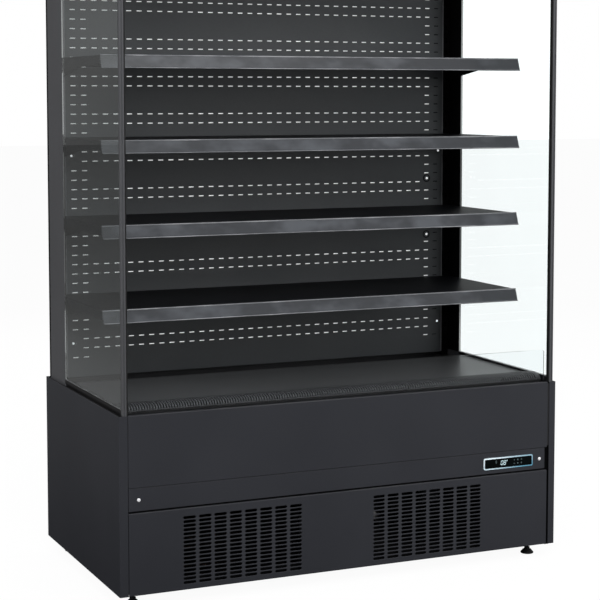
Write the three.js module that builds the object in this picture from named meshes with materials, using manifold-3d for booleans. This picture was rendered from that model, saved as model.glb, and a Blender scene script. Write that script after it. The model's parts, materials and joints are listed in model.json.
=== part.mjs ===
// Open multideck display fridge: a plug-in cabinet with glass ends, four tilting shelves and a base that holds
// the cold-air tub and the condensing unit.
// Millimetres. X runs along the width from the centre, Y runs back from the front plane, Z runs up from the floor.
// The exported group moves the cabinet along Y so that its box is centred on the origin.
import * as THREE from "three";
import { mergeVertices } from "three/addons/utils/BufferGeometryUtils.js";
import Module from "manifold-3d";

const wasm = await Module();
wasm.setup();

// ---------------------------------------------------------------- driving dimensions

const WIDTH = 1330; // over the base side panels
const BASE_DEPTH = 693; // front plane to the rear of the base
const HEIGHT = 1980; // floor to the top of the canopy
const FLOOR_GAP = 38; // floor to the lower edge of the base panels
const BASE_TOP = 516.7; // floor to the upper edge of the base panels
const PROUD = 2.5; // how far screw heads and the controller's bezel stand before the front plane
const SEAT = 0.3; // gap between pieces that rest on each other
const SHEET = 1.5; // painted steel sheet

// base panels
const SIDE_RETURN = 24; // front return of each side panel
const REAR_RETURN = 20;
const PANEL_GAP_LEFT = 1.5; // front panels hang nearer the left side panel
const PANEL_GAP_RIGHT = 4.5;
const PANEL_FLANGE = 11.5; // depth of the flanges folded back from the front panels
const FASCIA_FLANGE = 10;
const FASCIA_BOTTOM = 325.5;
const PANEL_HAIRLINE = 1.2; // between the fascia and the control strip
const STRIP_BOTTOM = 263;
const STRIP_SHORT = 7; // how much the control strip stops short on the right
const GRILLE_TOP = 257.8;

// vent slots in the grille panel
const VENT_COLUMNS = 8;
const VENT_ROWS = 17;
const VENT_SLOT = { length: 33.5, height: 6.3 };
const VENT_PITCH = { x: 44, z: 10.95 };
const VENT_BOTTOM = 54.6; // lower edge of the lowest slots
const VENT_PATCHES_FROM_LEFT = [178, 739.6];

// controller in the strip
const CONTROLLER = { fromRight: 158.7, z: 293, width: 164, height: 34, radius: 6 };
const CONTROLLER_BODY = { width: 150, height: 26, depth: 55 };
const LENS_MARGIN = 4; // bezel border round the touch lens
const LENS_THICKNESS = 0.7;
const LENS_RADIUS = 3;
const LENS_RECESS = 1.2;
const SCREW_FROM_SIDE = 53;
const SCREW = { head: 5, shank: 2.5, length: 16 }; // radii of a pan-head screw
const SCREW_CLEARANCE = 0.3;

// base frame and feet
const PAN_THICKNESS = 3;
const PAN_UPSTAND = 25;
const POST = { width: 62, depth: 40, thickness: 3, proud: 0.6 }; // corner posts, welded outside the pan
const FOOT = { x: 54, y: 60, base: 19, rim: 3, cone: 11, neck: 10, stud: 5 }; // inset of the centre, then radii and heights
const FOOT_STUD_ABOVE_BOSS = 6;
const BOSS = { radius: 13, height: 15 };

// insulated tub
const TUB_BOTTOM = 330;
const TUB_TOP = 512;
const TUB_FLOOR = 32;
const TUB_SIDE = 43.2;
const TUB_FRONT = 48.2;
const DRAIN = { x: 40, y: 465, bore: 11, wall: 4, endZ: 116 };

// upper body
const END_INSET = 10; // outer face of the ends from the base side
const END_THICKNESS = 15; // glass and posts
const UPPER_DEPTH = 686.7;
const REAR_WALL = 46.7;
const REAR_DUCT = 40; // air duct between the rear wall and the inner back panel
const POST_DEPTH = 161.7; // the solid rear part of each end
const POST_TRIM = { width: 15, inset: 1.5 }; // stepped rear corner of that part
const CANOPY_THICKNESS = 55;
const CANOPY_CHAMFER = 6;
const STILE = { width: 15.5, depth: 12, groove: 3.5, grooveFrom: 3.5, grooveDepth: 1.5 };
const SILL_TOP = 531.5;
const SILL_FOOT = { top: 522, inset: 3 };

// inner liner
const LINER_BOTTOM = 525;
const LINER_FLANGE = 11;
const UPRIGHT = { width: 22.4, web: 2, side: 2 };
const SLOT = { width: 6, height: 16, pitch: 38, endMargin: 30 };
const CEILING_DROP = 137; // canopy to the top of the inner back panel

// canopy
const HEADER_HEIGHT = 165;
const HEADER_LEDGE = 66; // depth of the ledge under the outlet
const HEADER_TOP_FLANGE = 20;
const OUTLET = { front: 60, back: 123, height: 18, slots: 20, slotLength: 48, rows: 2, slotWidth: 20 };
const CEILING_LIP = 6;
const LAMP = { length: 1120, front: 20, width: 26, height: 18 };

// deck, return grille and riser
const DECK_TOP = 527;
const DECK_FRONT = 140;
const DECK_REAR_GAP = 108; // deck to the inner back panel
const SHELF_END_GAP = 2; // shelves, deck and return grille to the inner face of each end
const RETURN_FRONT = 40;
const RETURN_CREST = 9.6; // crest of the return grille above the deck
const RETURN_CREST_Y = 32; // crest and rear shoulder, behind the return grille's front
const RETURN_SHOULDER_Y = 58;
const RETURN_SHOULDER_DROP = 0.9;
const RETURN_NOSE = { x: 12, drop: 2.4, cornerX: 4, cornerDrop: 7, footDrop: 13 };
const RETURN_SLOT = { width: 5, pitch: 30.4, front: 58, back: 128 };
const RISER = { y: 20, thickness: 4, top: 609, radius: 8, grooveDepth: 10 };
const RISER_END_GAP = 1;

// cooling unit in the tub
const FAN_PLATE_Y = 230;
const FAN_PLATE_THICKNESS = 2;
const FAN_PLATE_FLANGE = 15;
const TUB_FAN = { x: 300, z: 440, opening: 62, tip: 58, hub: 17, length: 20 };
const TUB_MOTOR = { radius: 25, length: 36, shaft: 4, strut: 10, gap: 3 };
const COIL = { length: 1080, rearGap: 100, depth: 210, height: 108, endPlate: 5, endMargin: 8, clear: 10 };
const COIL_BENDS = 3;
const BEND = { radius: 14, tube: 5 };

// condensing unit in the base
const CONDENSER = { x: -316, width: 348, front: 30, back: 90, height: 196 };
const CONDENSER_END = 3;
const CONDENSER_INSET = { y: 2, z: 6 }; // finned block inside its end plates
const SHROUD = { thickness: 2, ring: 93, ringWall: 3, armGap: 3, fanZ: 150 };
const CONDENSER_FAN = { tip: 90, hub: 28, length: 24, setBack: 6 };
const CONDENSER_MOTOR = { radius: 30, length: 48, shaft: 5, arm: 8, armDepth: 6 };
const BLADE_COUNT = 5;
const BLADE_THICKNESS = 1.6;
const BLADE_PITCH = THREE.MathUtils.degToRad(28);
const SHAFT_CLEARANCE = 0.3;
const FAN_BORE = 0.7; // share of a fan's length that is bored for its shaft
const COMPRESSOR = { x: 370, y: 430, radius: 78, height: 178, plate: 190, plateDepth: 150, grommet: 9 };
const COMPRESSOR_CAP = { width: 52, depth: 34, height: 46 };
const TRAY = { x0: -110, x1: 190, y0: 330, y1: 600, height: 60, wall: 2 };
const ELECTRICS = { x0: 440, x1: 590, y0: 560, y1: 665, height: 150 };
const GLAND = { z: 90, radius: 11, length: 21, bore: 5 };

// shelves
const SHELF_COUNT = 4;
const SLOTS_PER_SHELF = 6;
const FIRST_SHELF = 770; // top of the lowest shelf
const SHELF_FLANGE = 25;
const SHELF_REAR_GAP = 6;
const RAIL = { rise: 2, height: 36.4, lean: 13.8, thickness: 3, ridge: 3, recess: 1, topY: 182.5, leg: 24 };
const BRACKET = { thickness: 3, front: 200, depth: 60, noseDepth: 22, noseY: 338 };
const HOOK = { top: 6, neck: 10, play: 0.4, behind: 2.4, leg: 4, drop: 9, notch: 8 };
const LUG = { height: 10, reach: 6 };

const ROUND = 16; // sides of a small round piece

// ---------------------------------------------------------------- derived places

const HALF = WIDTH / 2;
const FRAME_SIDE = HALF - SHEET - SEAT; // outer side of what stands inside the side panels
const FRAME_FRONT = PANEL_FLANGE + SEAT; // the frame's front, where the panel flanges end
const FRAME_BACK = BASE_DEPTH - SHEET - SEAT;
const PAN_BOTTOM = FLOOR_GAP + SHEET + SEAT;
const PAN_TOP = PAN_BOTTOM + PAN_THICKNESS;
const PANEL_LEFT = -HALF + SIDE_RETURN + PANEL_GAP_LEFT;
const PANEL_RIGHT = HALF - SIDE_RETURN - PANEL_GAP_RIGHT;
const STRIP_TOP = FASCIA_BOTTOM - PANEL_HAIRLINE;
const STRIP_RIGHT = PANEL_RIGHT - STRIP_SHORT;
const CONTROLLER_X = HALF - CONTROLLER.fromRight;
const END_OUTER = HALF - END_INSET;
const END_INNER = END_OUTER - END_THICKNESS;
const STAND = TUB_TOP + SEAT; // what stands on the tub starts here
const CANOPY_BOTTOM = HEIGHT - CANOPY_THICKNESS;
const HEADER_BOTTOM = CANOPY_BOTTOM - HEADER_HEIGHT;
const CEILING = CANOPY_BOTTOM - CEILING_DROP;
const UPPER_TOP = CANOPY_BOTTOM - SEAT;
const TUB_FRONT_FACE = SHEET + SEAT;
const TUB_INSIDE = FRAME_SIDE - TUB_SIDE;
const TUB_FLOOR_TOP = TUB_BOTTOM + TUB_FLOOR;
const REAR_WALL_FRONT = UPPER_DEPTH - REAR_WALL;
const LINER_FRONT = REAR_WALL_FRONT - REAR_DUCT; // visible face of the inner back panel
const POST_FRONT = UPPER_DEPTH - POST_DEPTH;
const DECK_BACK = LINER_FRONT - DECK_REAR_GAP;
const COIL_BACK = REAR_WALL_FRONT - COIL.rearGap;
const SHELF_HALF = END_INNER - SHELF_END_GAP;
const UPRIGHT_OUTER = END_INNER - SEAT;
const UPRIGHT_INNER = UPRIGHT_OUTER - UPRIGHT.width;
const LINER_HALF = UPRIGHT_INNER - SEAT;
const HOOK_X = UPRIGHT_OUTER - UPRIGHT.width / 2;
const WEB_BACK = LINER_FRONT + UPRIGHT.web;
const SHELF_PITCH = SLOTS_PER_SHELF * SLOT.pitch;
const TUB_FAN_BACK = FAN_PLATE_Y + FAN_PLATE_THICKNESS + FAN_BORE * TUB_FAN.length;
const SLOT_START = FIRST_SHELF - HOOK.top - HOOK.neck - HOOK.play; // lower edge of the first shelf's slots

// ---------------------------------------------------------------- finishes

function paint(color, roughness, metalness = 0, opacity = 1) {
  const material = new THREE.MeshStandardMaterial({ color, roughness, metalness });
  material.transparent = opacity < 1;
  material.opacity = opacity;
  return material;
}

const FINISH = {
  basePaint: () => paint(0x34353a, 0.45),
  shellPaint: () => paint(0x4a4b50, 0.45),
  blackPaint: () => paint(0x0b0b0d, 0.5),
  linerPaint: () => paint(0x3a3c40, 0.4),
  shelfPaint: () => paint(0x26272a, 0.35),
  railPlastic: () => paint(0x55575c, 0.2),
  blackPlastic: () => paint(0x101012, 0.4),
  insulation: () => paint(0x17181a, 0.6),
  glass: () => paint(0xeaf6f6, 0.05, 0, 0.25),
  lens: () => paint(0x050807, 0.08),
  brightTrim: () => paint(0xd6e8f2, 0.2),
  zincScrew: () => paint(0xe8e8ee, 0.25, 0.9),
  aluminium: () => paint(0xb9bcbf, 0.4, 0.9),
  galvanised: () => paint(0x9a9da0, 0.45, 0.8),
  castBlack: () => paint(0x1a1a1c, 0.5),
  lampCover: () => paint(0xf4f6f6, 0.3),
};

// ---------------------------------------------------------------- solid modelling helpers

/** A closed geometry as a solid that can be cut and joined. */
function solid(geometry) {
  geometry.deleteAttribute("normal");
  geometry.deleteAttribute("uv");
  const merged = mergeVertices(geometry, 1e-4);
  const corners = [];
  for (let i = 0; i < merged.index.count; i += 3) {
    const [a, b, c] = [0, 1, 2].map((k) => merged.index.getX(i + k));
    if (a !== b && b !== c && c !== a) corners.push(a, b, c);
  }
  const vertProperties = new Float32Array(merged.attributes.position.array);
  const triVerts = new Uint32Array(corners);
  return new wasm.Manifold(new wasm.Mesh({ numProp: 3, vertProperties, triVerts }));
}

/** An outline from its corners, or as it is if it is a shape already. */
function outline(points) {
  if (points instanceof THREE.Shape) return points;
  return new THREE.Shape(points.map(([a, b]) => new THREE.Vector2(a, b)));
}

/** An outline carried straight from one value to another; place turns (a, b, along) into a point. */
function extrude(points, from, to, place) {
  const options = { depth: 1, bevelEnabled: false, steps: 1, curveSegments: 4 };
  const geometry = new THREE.ExtrudeGeometry(outline(points), options);
  const position = geometry.attributes.position;
  for (let i = 0; i < position.count; i++) {
    const along = position.getZ(i) > 0.5 ? to : from;
    position.setXYZ(i, ...place(position.getX(i), position.getY(i), along));
  }
  return solid(geometry);
}

/** A (y, z) outline carried along X. */
function alongX(points, x0, x1) {
  return extrude(points, x0, x1, (y, z, x) => [x, y, z]);
}

/** An (x, z) outline carried along Y. */
function alongY(points, y0, y1) {
  return extrude(points, y1, y0, (x, z, y) => [x, y, z]);
}

/** An (x, y) outline carried along Z. */
function alongZ(points, z0, z1) {
  return extrude(points, z0, z1, (x, y, z) => [x, y, z]);
}

/** A box between two values on each axis. */
function box(x0, x1, y0, y1, z0, z1) {
  return alongZ([[x0, y0], [x1, y0], [x1, y1], [x0, y1]], z0, z1);
}

/** A box that is mirrored across X = 0: its outer and inner faces are given from the centre. */
function sideBox(side, outer, inner, y0, y1, z0, z1) {
  return box(Math.min(side * outer, side * inner), Math.max(side * outer, side * inner), y0, y1, z0, z1);
}

/** Corners of a regular polygon that stands for a circle. */
function circle(a, b, radius, sides) {
  const corners = [];
  for (let i = 0; i < sides; i++) {
    const turn = (2 * Math.PI * i) / sides;
    corners.push([a + radius * Math.cos(turn), b + radius * Math.sin(turn)]);
  }
  return corners;
}

/** A round bar along Z on the Z axis. */
function bar(radius, z0, z1, sides = ROUND) {
  return alongZ(circle(0, 0, radius, sides), z0, z1);
}

/** A round bar along Y. */
function barAlongY(x, z, radius, y0, y1, sides = ROUND) {
  return alongY(circle(x, z, radius, sides), y0, y1);
}

/** A turned piece from its (radius, height) profile, which starts and ends on the Z axis. */
function turned(profile, sides = ROUND) {
  const points = profile.map(([r, h]) => new THREE.Vector2(r, h));
  return solid(new THREE.LatheGeometry(points, sides).rotateX(Math.PI / 2));
}

/** A rectangle with round corners, about its centre. */
function roundedRectangle(cx, cz, width, height, radius) {
  const shape = new THREE.Shape();
  const [x, z] = [width / 2, height / 2];
  shape.moveTo(cx - x + radius, cz - z);
  shape.lineTo(cx + x - radius, cz - z);
  shape.absarc(cx + x - radius, cz - z + radius, radius, -Math.PI / 2, 0, false);
  shape.absarc(cx + x - radius, cz + z - radius, radius, 0, Math.PI / 2, false);
  shape.absarc(cx - x + radius, cz + z - radius, radius, Math.PI / 2, Math.PI, false);
  shape.absarc(cx - x + radius, cz - z + radius, radius, Math.PI, 1.5 * Math.PI, false);
  return shape;
}

function joined(...solids) {
  return solids.reduce((whole, next) => whole.add(next));
}

function cut(whole, ...tools) {
  return whole.subtract(joined(...tools));
}

/** A named mesh of one solid. */
function piece(name, made, material) {
  const mesh = made.getMesh();
  const geometry = new THREE.BufferGeometry();
  geometry.setAttribute("position", new THREE.BufferAttribute(new Float32Array(mesh.vertProperties), 3));
  geometry.setIndex(new THREE.BufferAttribute(new Uint32Array(mesh.triVerts), 1));
  geometry.computeVertexNormals();
  const result = new THREE.Mesh(geometry, material);
  result.name = name;
  return result;
}

const SIDES = [["left", -1], ["right", 1]];

// ---------------------------------------------------------------- base

/** A channel of folded sheet, open to the rear, with its flanges folded back. */
function foldedPanel(x0, x1, bottom, top, flange) {
  return alongX(
    [
      [0, bottom],
      [flange, bottom],
      [flange, bottom + SHEET],
      [SHEET, bottom + SHEET],
      [SHEET, top - SHEET],
      [flange, top - SHEET],
      [flange, top],
      [0, top],
    ],
    x0,
    x1,
  );
}

function sidePanel(side) {
  const x = (fromOuter) => side * (HALF - fromOuter);
  return alongZ(
    [
      [x(0), 0],
      [x(SIDE_RETURN), 0],
      [x(SIDE_RETURN), SHEET],
      [x(SHEET), SHEET],
      [x(SHEET), BASE_DEPTH - SHEET],
      [x(REAR_RETURN), BASE_DEPTH - SHEET],
      [x(REAR_RETURN), BASE_DEPTH],
      [x(0), BASE_DEPTH],
    ],
    FLOOR_GAP,
    BASE_TOP,
  );
}

function cornerPost(side, front) {
  const outer = side * FRAME_SIDE;
  const inner = side * (FRAME_SIDE - POST.width);
  const wall = side * (FRAME_SIDE - POST.thickness);
  const y = (inward) => (front ? FRAME_FRONT + inward : FRAME_BACK - inward);
  return alongZ(
    [
      [outer, y(0)],
      [inner, y(0)],
      [inner, y(POST.thickness)],
      [wall, y(POST.thickness)],
      [wall, y(POST.depth)],
      [outer, y(POST.depth)],
    ],
    PAN_BOTTOM + POST.proud,
    TUB_BOTTOM - SEAT,
  );
}

function footCentres() {
  return SIDES.flatMap(([sideName, side]) => [
    { name: `foot_front_${sideName}`, x: side * (HALF - FOOT.x), y: FOOT.y },
    { name: `foot_rear_${sideName}`, x: side * (HALF - FOOT.x), y: BASE_DEPTH - FOOT.y },
  ]);
}

function baseFrame() {
  const sides = (inset) => [-FRAME_SIDE + inset, FRAME_SIDE - inset, FRAME_FRONT + inset, FRAME_BACK - inset];
  const pan = box(...sides(POST.proud), PAN_BOTTOM, PAN_TOP + PAN_UPSTAND);
  let frame = cut(pan, box(...sides(POST.proud + PAN_THICKNESS), PAN_TOP, PAN_TOP + 2 * PAN_UPSTAND));
  for (const [, side] of SIDES) {
    frame = joined(frame, cornerPost(side, true), cornerPost(side, false));
    const screwX = side * (HALF - SCREW_FROM_SIDE);
    const reach = FRAME_FRONT + POST.thickness;
    frame = cut(frame, barAlongY(screwX, CONTROLLER.z, SCREW.shank + SCREW_CLEARANCE, 0, reach + SEAT, 12));
  }
  for (const { x, y } of footCentres()) {
    frame = joined(frame, bar(BOSS.radius, PAN_BOTTOM + POST.proud, PAN_TOP + BOSS.height).translate(x, y, 0));
    const hole = bar(FOOT.stud + SHAFT_CLEARANCE, 0, PAN_TOP + 2 * BOSS.height);
    frame = cut(frame, hole.translate(x, y, 0));
  }
  return frame;
}

function foot() {
  const studTop = PAN_TOP + BOSS.height + FOOT_STUD_ABOVE_BOSS;
  return turned([
    [0, 0],
    [FOOT.base, 0],
    [FOOT.base, FOOT.rim],
    [FOOT.neck, FOOT.cone],
    [FOOT.stud, FOOT.cone],
    [FOOT.stud, studTop],
    [0, studTop],
  ]);
}

function ventSlots() {
  const slots = [];
  for (const fromLeft of VENT_PATCHES_FROM_LEFT) {
    for (let column = 0; column < VENT_COLUMNS; column++) {
      const x = -HALF + fromLeft + column * VENT_PITCH.x;
      for (let row = 0; row < VENT_ROWS; row++) {
        const z = VENT_BOTTOM + row * VENT_PITCH.z;
        slots.push(box(x, x + VENT_SLOT.length, -SHEET, 2 * SHEET, z, z + VENT_SLOT.height));
      }
    }
  }
  return slots;
}

function grillePanel() {
  return cut(foldedPanel(PANEL_LEFT, PANEL_RIGHT, FLOOR_GAP, GRILLE_TOP, PANEL_FLANGE), ...ventSlots());
}

function controlStrip() {
  const strip = foldedPanel(PANEL_LEFT, STRIP_RIGHT, STRIP_BOTTOM, STRIP_TOP, PANEL_FLANGE);
  const halfWidth = CONTROLLER_BODY.width / 2 + SEAT;
  const halfHeight = CONTROLLER_BODY.height / 2 + SEAT;
  const window = box(
    CONTROLLER_X - halfWidth,
    CONTROLLER_X + halfWidth,
    -PROUD,
    2 * SHEET,
    CONTROLLER.z - halfHeight,
    CONTROLLER.z + halfHeight,
  );
  const holes = SIDES.map(([, side]) => {
    const x = side * (HALF - SCREW_FROM_SIDE);
    return barAlongY(x, CONTROLLER.z, SCREW.shank + SCREW_CLEARANCE, -PROUD, 2 * SHEET, 12);
  });
  return cut(strip, window, ...holes);
}

function controllerHousing() {
  const { width, height, radius } = CONTROLLER;
  const bezel = alongY(roundedRectangle(0, 0, width, height, radius), -PROUD, -SEAT);
  const pocketWidth = width - 2 * LENS_MARGIN;
  const pocketHeight = height - 2 * LENS_MARGIN;
  const pocket = alongY(
    roundedRectangle(0, 0, pocketWidth, pocketHeight, LENS_RADIUS + SEAT),
    -2 * PROUD,
    LENS_RECESS - PROUD,
  );
  const halfWidth = CONTROLLER_BODY.width / 2;
  const halfHeight = CONTROLLER_BODY.height / 2;
  const overlap = (PROUD - LENS_RECESS - SEAT) / 2;
  const body = box(-halfWidth, halfWidth, -SEAT - overlap, CONTROLLER_BODY.depth, -halfHeight, halfHeight);
  return joined(cut(bezel, pocket), body);
}

function controllerLens() {
  const width = CONTROLLER.width - 2 * LENS_MARGIN - 2 * SEAT;
  const height = CONTROLLER.height - 2 * LENS_MARGIN - 2 * SEAT;
  const back = LENS_RECESS - PROUD - SEAT;
  return alongY(roundedRectangle(0, 0, width, height, LENS_RADIUS), back - LENS_THICKNESS, back);
}

function stripScrew() {
  const { head, shank, length } = SCREW;
  const rise = PROUD - SEAT;
  return turned(
    [
      [0, -length],
      [shank, -length],
      [shank, SEAT],
      [head, SEAT],
      [0.92 * head, SEAT + 0.45 * rise],
      [0.6 * head, SEAT + 0.85 * rise],
      [0, PROUD],
    ],
    12,
  );
}

function insulatedTub() {
  const outer = box(-FRAME_SIDE, FRAME_SIDE, TUB_FRONT_FACE, FRAME_BACK, TUB_BOTTOM, TUB_TOP);
  const well = box(
    -TUB_INSIDE,
    TUB_INSIDE,
    TUB_FRONT_FACE + TUB_FRONT,
    REAR_WALL_FRONT,
    TUB_FLOOR_TOP,
    2 * TUB_TOP,
  );
  const riserHalf = SHELF_HALF - RISER_END_GAP + SEAT;
  const groove = box(
    -riserHalf,
    riserHalf,
    RISER.y - SEAT,
    RISER.y + RISER.thickness + SEAT,
    TUB_TOP - RISER.grooveDepth,
    2 * TUB_TOP,
  );
  const spout = bar(DRAIN.bore + DRAIN.wall, DRAIN.endZ, TUB_BOTTOM + DRAIN.wall).translate(DRAIN.x, DRAIN.y, 0);
  const bore = bar(DRAIN.bore, 0, TUB_TOP).translate(DRAIN.x, DRAIN.y, 0);
  return cut(joined(cut(outer, well, groove), spout), bore);
}

function frontPanels() {
  const group = new THREE.Group();
  group.add(piece("upper_fascia", foldedPanel(PANEL_LEFT, PANEL_RIGHT, FASCIA_BOTTOM, BASE_TOP, FASCIA_FLANGE), FINISH.basePaint()));
  group.add(piece("control_strip", controlStrip(), FINISH.basePaint()));
  group.add(piece("grille_panel", grillePanel(), FINISH.basePaint()));
  const controller = new THREE.Group();
  controller.position.set(CONTROLLER_X, 0, CONTROLLER.z);
  controller.add(piece("controller_housing", controllerHousing(), FINISH.brightTrim()));
  controller.add(piece("controller_lens", controllerLens(), FINISH.lens()));
  group.add(controller);
  for (const [sideName, side] of SIDES) {
    const screw = piece(`strip_screw_${sideName}`, stripScrew(), FINISH.zincScrew());
    screw.rotation.x = Math.PI / 2;
    screw.position.set(side * (HALF - SCREW_FROM_SIDE), 0, CONTROLLER.z);
    group.add(screw);
  }
  return group;
}

function base() {
  const group = new THREE.Group();
  group.add(piece("base_frame", baseFrame(), FINISH.galvanised()));
  for (const { name, x, y } of footCentres()) {
    const mesh = piece(name, foot(), FINISH.blackPlastic());
    mesh.position.set(x, y, 0);
    group.add(mesh);
  }
  for (const [sideName, side] of SIDES) {
    group.add(piece(`base_side_${sideName}`, sidePanel(side), FINISH.basePaint()));
  }
  group.add(frontPanels());
  group.add(piece("insulated_tub", insulatedTub(), FINISH.insulation()));
  return group;
}

// ---------------------------------------------------------------- upper body

function sidePost(side) {
  const outer = side * END_OUTER;
  const stepped = side * (END_OUTER - POST_TRIM.inset);
  const inner = side * END_INNER;
  return alongZ(
    [
      [outer, POST_FRONT],
      [inner, POST_FRONT],
      [inner, UPPER_DEPTH],
      [stepped, UPPER_DEPTH],
      [stepped, UPPER_DEPTH - POST_TRIM.width],
      [outer, UPPER_DEPTH - POST_TRIM.width],
    ],
    STAND,
    UPPER_TOP,
  );
}

function endGlass(side) {
  return sideBox(side, END_OUTER, END_INNER, STILE.depth + SEAT, POST_FRONT - SEAT, SILL_TOP + SEAT, UPPER_TOP);
}

/** The stile in front of the glass and the sill under it, one mitred frame. */
function glassFrame(side) {
  const foot = TUB_FRONT_FACE + SEAT;
  const profile = [
    [0, BASE_TOP + SEAT],
    [foot, BASE_TOP + SEAT],
    [foot, STAND],
    [POST_FRONT - SEAT, STAND],
    [POST_FRONT - SEAT, SILL_TOP],
    [STILE.depth, SILL_TOP],
    [STILE.depth, UPPER_TOP],
    [0, UPPER_TOP],
  ];
  const inner = END_OUTER - STILE.width;
  const [x0, x1] = [Math.min(side * END_OUTER, side * inner), Math.max(side * END_OUTER, side * inner)];
  const grooveOuter = END_OUTER - STILE.grooveFrom;
  const groove = sideBox(side, grooveOuter, grooveOuter - STILE.groove, -STILE.depth, STILE.grooveDepth, 0, HEIGHT);
  const step = STILE.depth + STILE.grooveDepth;
  const footInset = sideBox(side, HALF, END_OUTER - SILL_FOOT.inset, step, BASE_DEPTH, 0, SILL_FOOT.top);
  return cut(alongX(profile, x0, x1), groove, footInset);
}

function canopyTop() {
  const profile = [
    [0, CANOPY_BOTTOM],
    [UPPER_DEPTH, CANOPY_BOTTOM],
    [UPPER_DEPTH, HEIGHT],
    [CANOPY_CHAMFER, HEIGHT],
    [0, HEIGHT - CANOPY_CHAMFER],
  ];
  return alongX(profile, -END_OUTER, END_OUTER);
}

function canopyHeader() {
  const profile = [
    [0, HEADER_BOTTOM],
    [HEADER_LEDGE, HEADER_BOTTOM],
    [HEADER_LEDGE, HEADER_BOTTOM + SHEET],
    [SHEET, HEADER_BOTTOM + SHEET],
    [SHEET, UPPER_TOP - SHEET],
    [HEADER_TOP_FLANGE, UPPER_TOP - SHEET],
    [HEADER_TOP_FLANGE, UPPER_TOP],
    [0, UPPER_TOP],
  ];
  const half = END_OUTER - STILE.width - SEAT;
  return alongX(profile, -half, half);
}

function ceilingPanel() {
  const back = LINER_FRONT + SHEET;
  const profile = [
    [OUTLET.back - CEILING_LIP, HEADER_BOTTOM],
    [OUTLET.back + SHEET, HEADER_BOTTOM],
    [OUTLET.back + SHEET, CEILING + SEAT],
    [back, CEILING + SEAT],
    [back, CEILING + SEAT + SHEET],
    [OUTLET.back, CEILING + SEAT + SHEET],
    [OUTLET.back, HEADER_BOTTOM + SHEET],
    [OUTLET.back - CEILING_LIP, HEADER_BOTTOM + SHEET],
  ];
  return alongX(profile, -UPRIGHT_OUTER, UPRIGHT_OUTER);
}

/** The outlet that lays the cold-air curtain over the open front. */
function airOutlet() {
  const half = UPRIGHT_OUTER - SEAT;
  const { front, back, slots, slotLength, rows, slotWidth } = OUTLET;
  const bottom = HEADER_BOTTOM + SHEET + SEAT;
  const pitch = (2 * half) / slots;
  const rowPitch = (back - SEAT - front) / rows;
  const holes = [];
  for (let i = 0; i < slots; i++) {
    const x = -half + (i + 0.5) * pitch - slotLength / 2;
    for (let row = 0; row < rows; row++) {
      const y = front + (row + 0.5) * rowPitch - slotWidth / 2;
      holes.push(box(x, x + slotLength, y, y + slotWidth, 0, HEIGHT));
    }
  }
  return cut(box(-half, half, front, back - SEAT, bottom, bottom + OUTLET.height), ...holes);
}

function ledLamp() {
  const { front, width, height, length } = LAMP;
  const top = HEADER_BOTTOM - SEAT;
  const profile = [
    [front, top],
    [front, top - 0.4 * height],
    [front + 0.2 * width, top - 0.85 * height],
    [front + 0.5 * width, top - height],
    [front + 0.8 * width, top - 0.85 * height],
    [front + width, top - 0.4 * height],
    [front + width, top],
  ];
  return alongX(profile, -length / 2, length / 2);
}

function upperBody() {
  const group = new THREE.Group();
  for (const [sideName, side] of SIDES) {
    group.add(piece(`side_post_${sideName}`, sidePost(side), FINISH.shellPaint()));
    group.add(piece(`end_glass_${sideName}`, endGlass(side), FINISH.glass()));
    group.add(piece(`glass_frame_${sideName}`, glassFrame(side), FINISH.shellPaint()));
  }
  const wall = box(-END_INNER + SEAT, END_INNER - SEAT, REAR_WALL_FRONT, UPPER_DEPTH, STAND, UPPER_TOP);
  group.add(piece("rear_wall", wall, FINISH.insulation()));
  group.add(piece("canopy_top", canopyTop(), FINISH.shellPaint()));
  group.add(piece("canopy_header", canopyHeader(), FINISH.shellPaint()));
  group.add(piece("ceiling_panel", ceilingPanel(), FINISH.linerPaint()));
  group.add(piece("air_outlet", airOutlet(), FINISH.blackPlastic()));
  group.add(piece("led_lamp", ledLamp(), FINISH.lampCover()));
  return group;
}

// ---------------------------------------------------------------- liner, deck and riser

function backPanel() {
  const back = LINER_FRONT + LINER_FLANGE;
  return alongZ(
    [
      [-LINER_HALF, LINER_FRONT],
      [LINER_HALF, LINER_FRONT],
      [LINER_HALF, back],
      [LINER_HALF - SHEET, back],
      [LINER_HALF - SHEET, LINER_FRONT + SHEET],
      [-LINER_HALF + SHEET, LINER_FRONT + SHEET],
      [-LINER_HALF + SHEET, back],
      [-LINER_HALF, back],
    ],
    LINER_BOTTOM,
    CEILING,
  );
}

/** Lower edges of the hook slots, one pitch apart, up the whole upright. */
function slotHeights() {
  const lowest = STAND + SLOT.endMargin;
  const below = Math.floor((SLOT_START - lowest) / SLOT.pitch);
  const heights = [];
  for (let z = SLOT_START - below * SLOT.pitch; z + SLOT.height < CEILING - SLOT.endMargin; z += SLOT.pitch) {
    heights.push(z);
  }
  return heights;
}

function shelfUpright(side) {
  const x = (fromOuter) => side * (UPRIGHT_OUTER - fromOuter);
  const back = REAR_WALL_FRONT - SEAT;
  const channel = alongZ(
    [
      [x(0), LINER_FRONT],
      [x(UPRIGHT.width), LINER_FRONT],
      [x(UPRIGHT.width), back],
      [x(UPRIGHT.width - UPRIGHT.side), back],
      [x(UPRIGHT.width - UPRIGHT.side), WEB_BACK],
      [x(UPRIGHT.side), WEB_BACK],
      [x(UPRIGHT.side), back],
      [x(0), back],
    ],
    STAND,
    CEILING,
  );
  const slots = slotHeights().map((z) =>
    sideBox(side, HOOK_X + SLOT.width / 2, HOOK_X - SLOT.width / 2, 0, REAR_WALL_FRONT, z, z + SLOT.height),
  );
  return cut(channel, ...slots);
}

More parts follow.
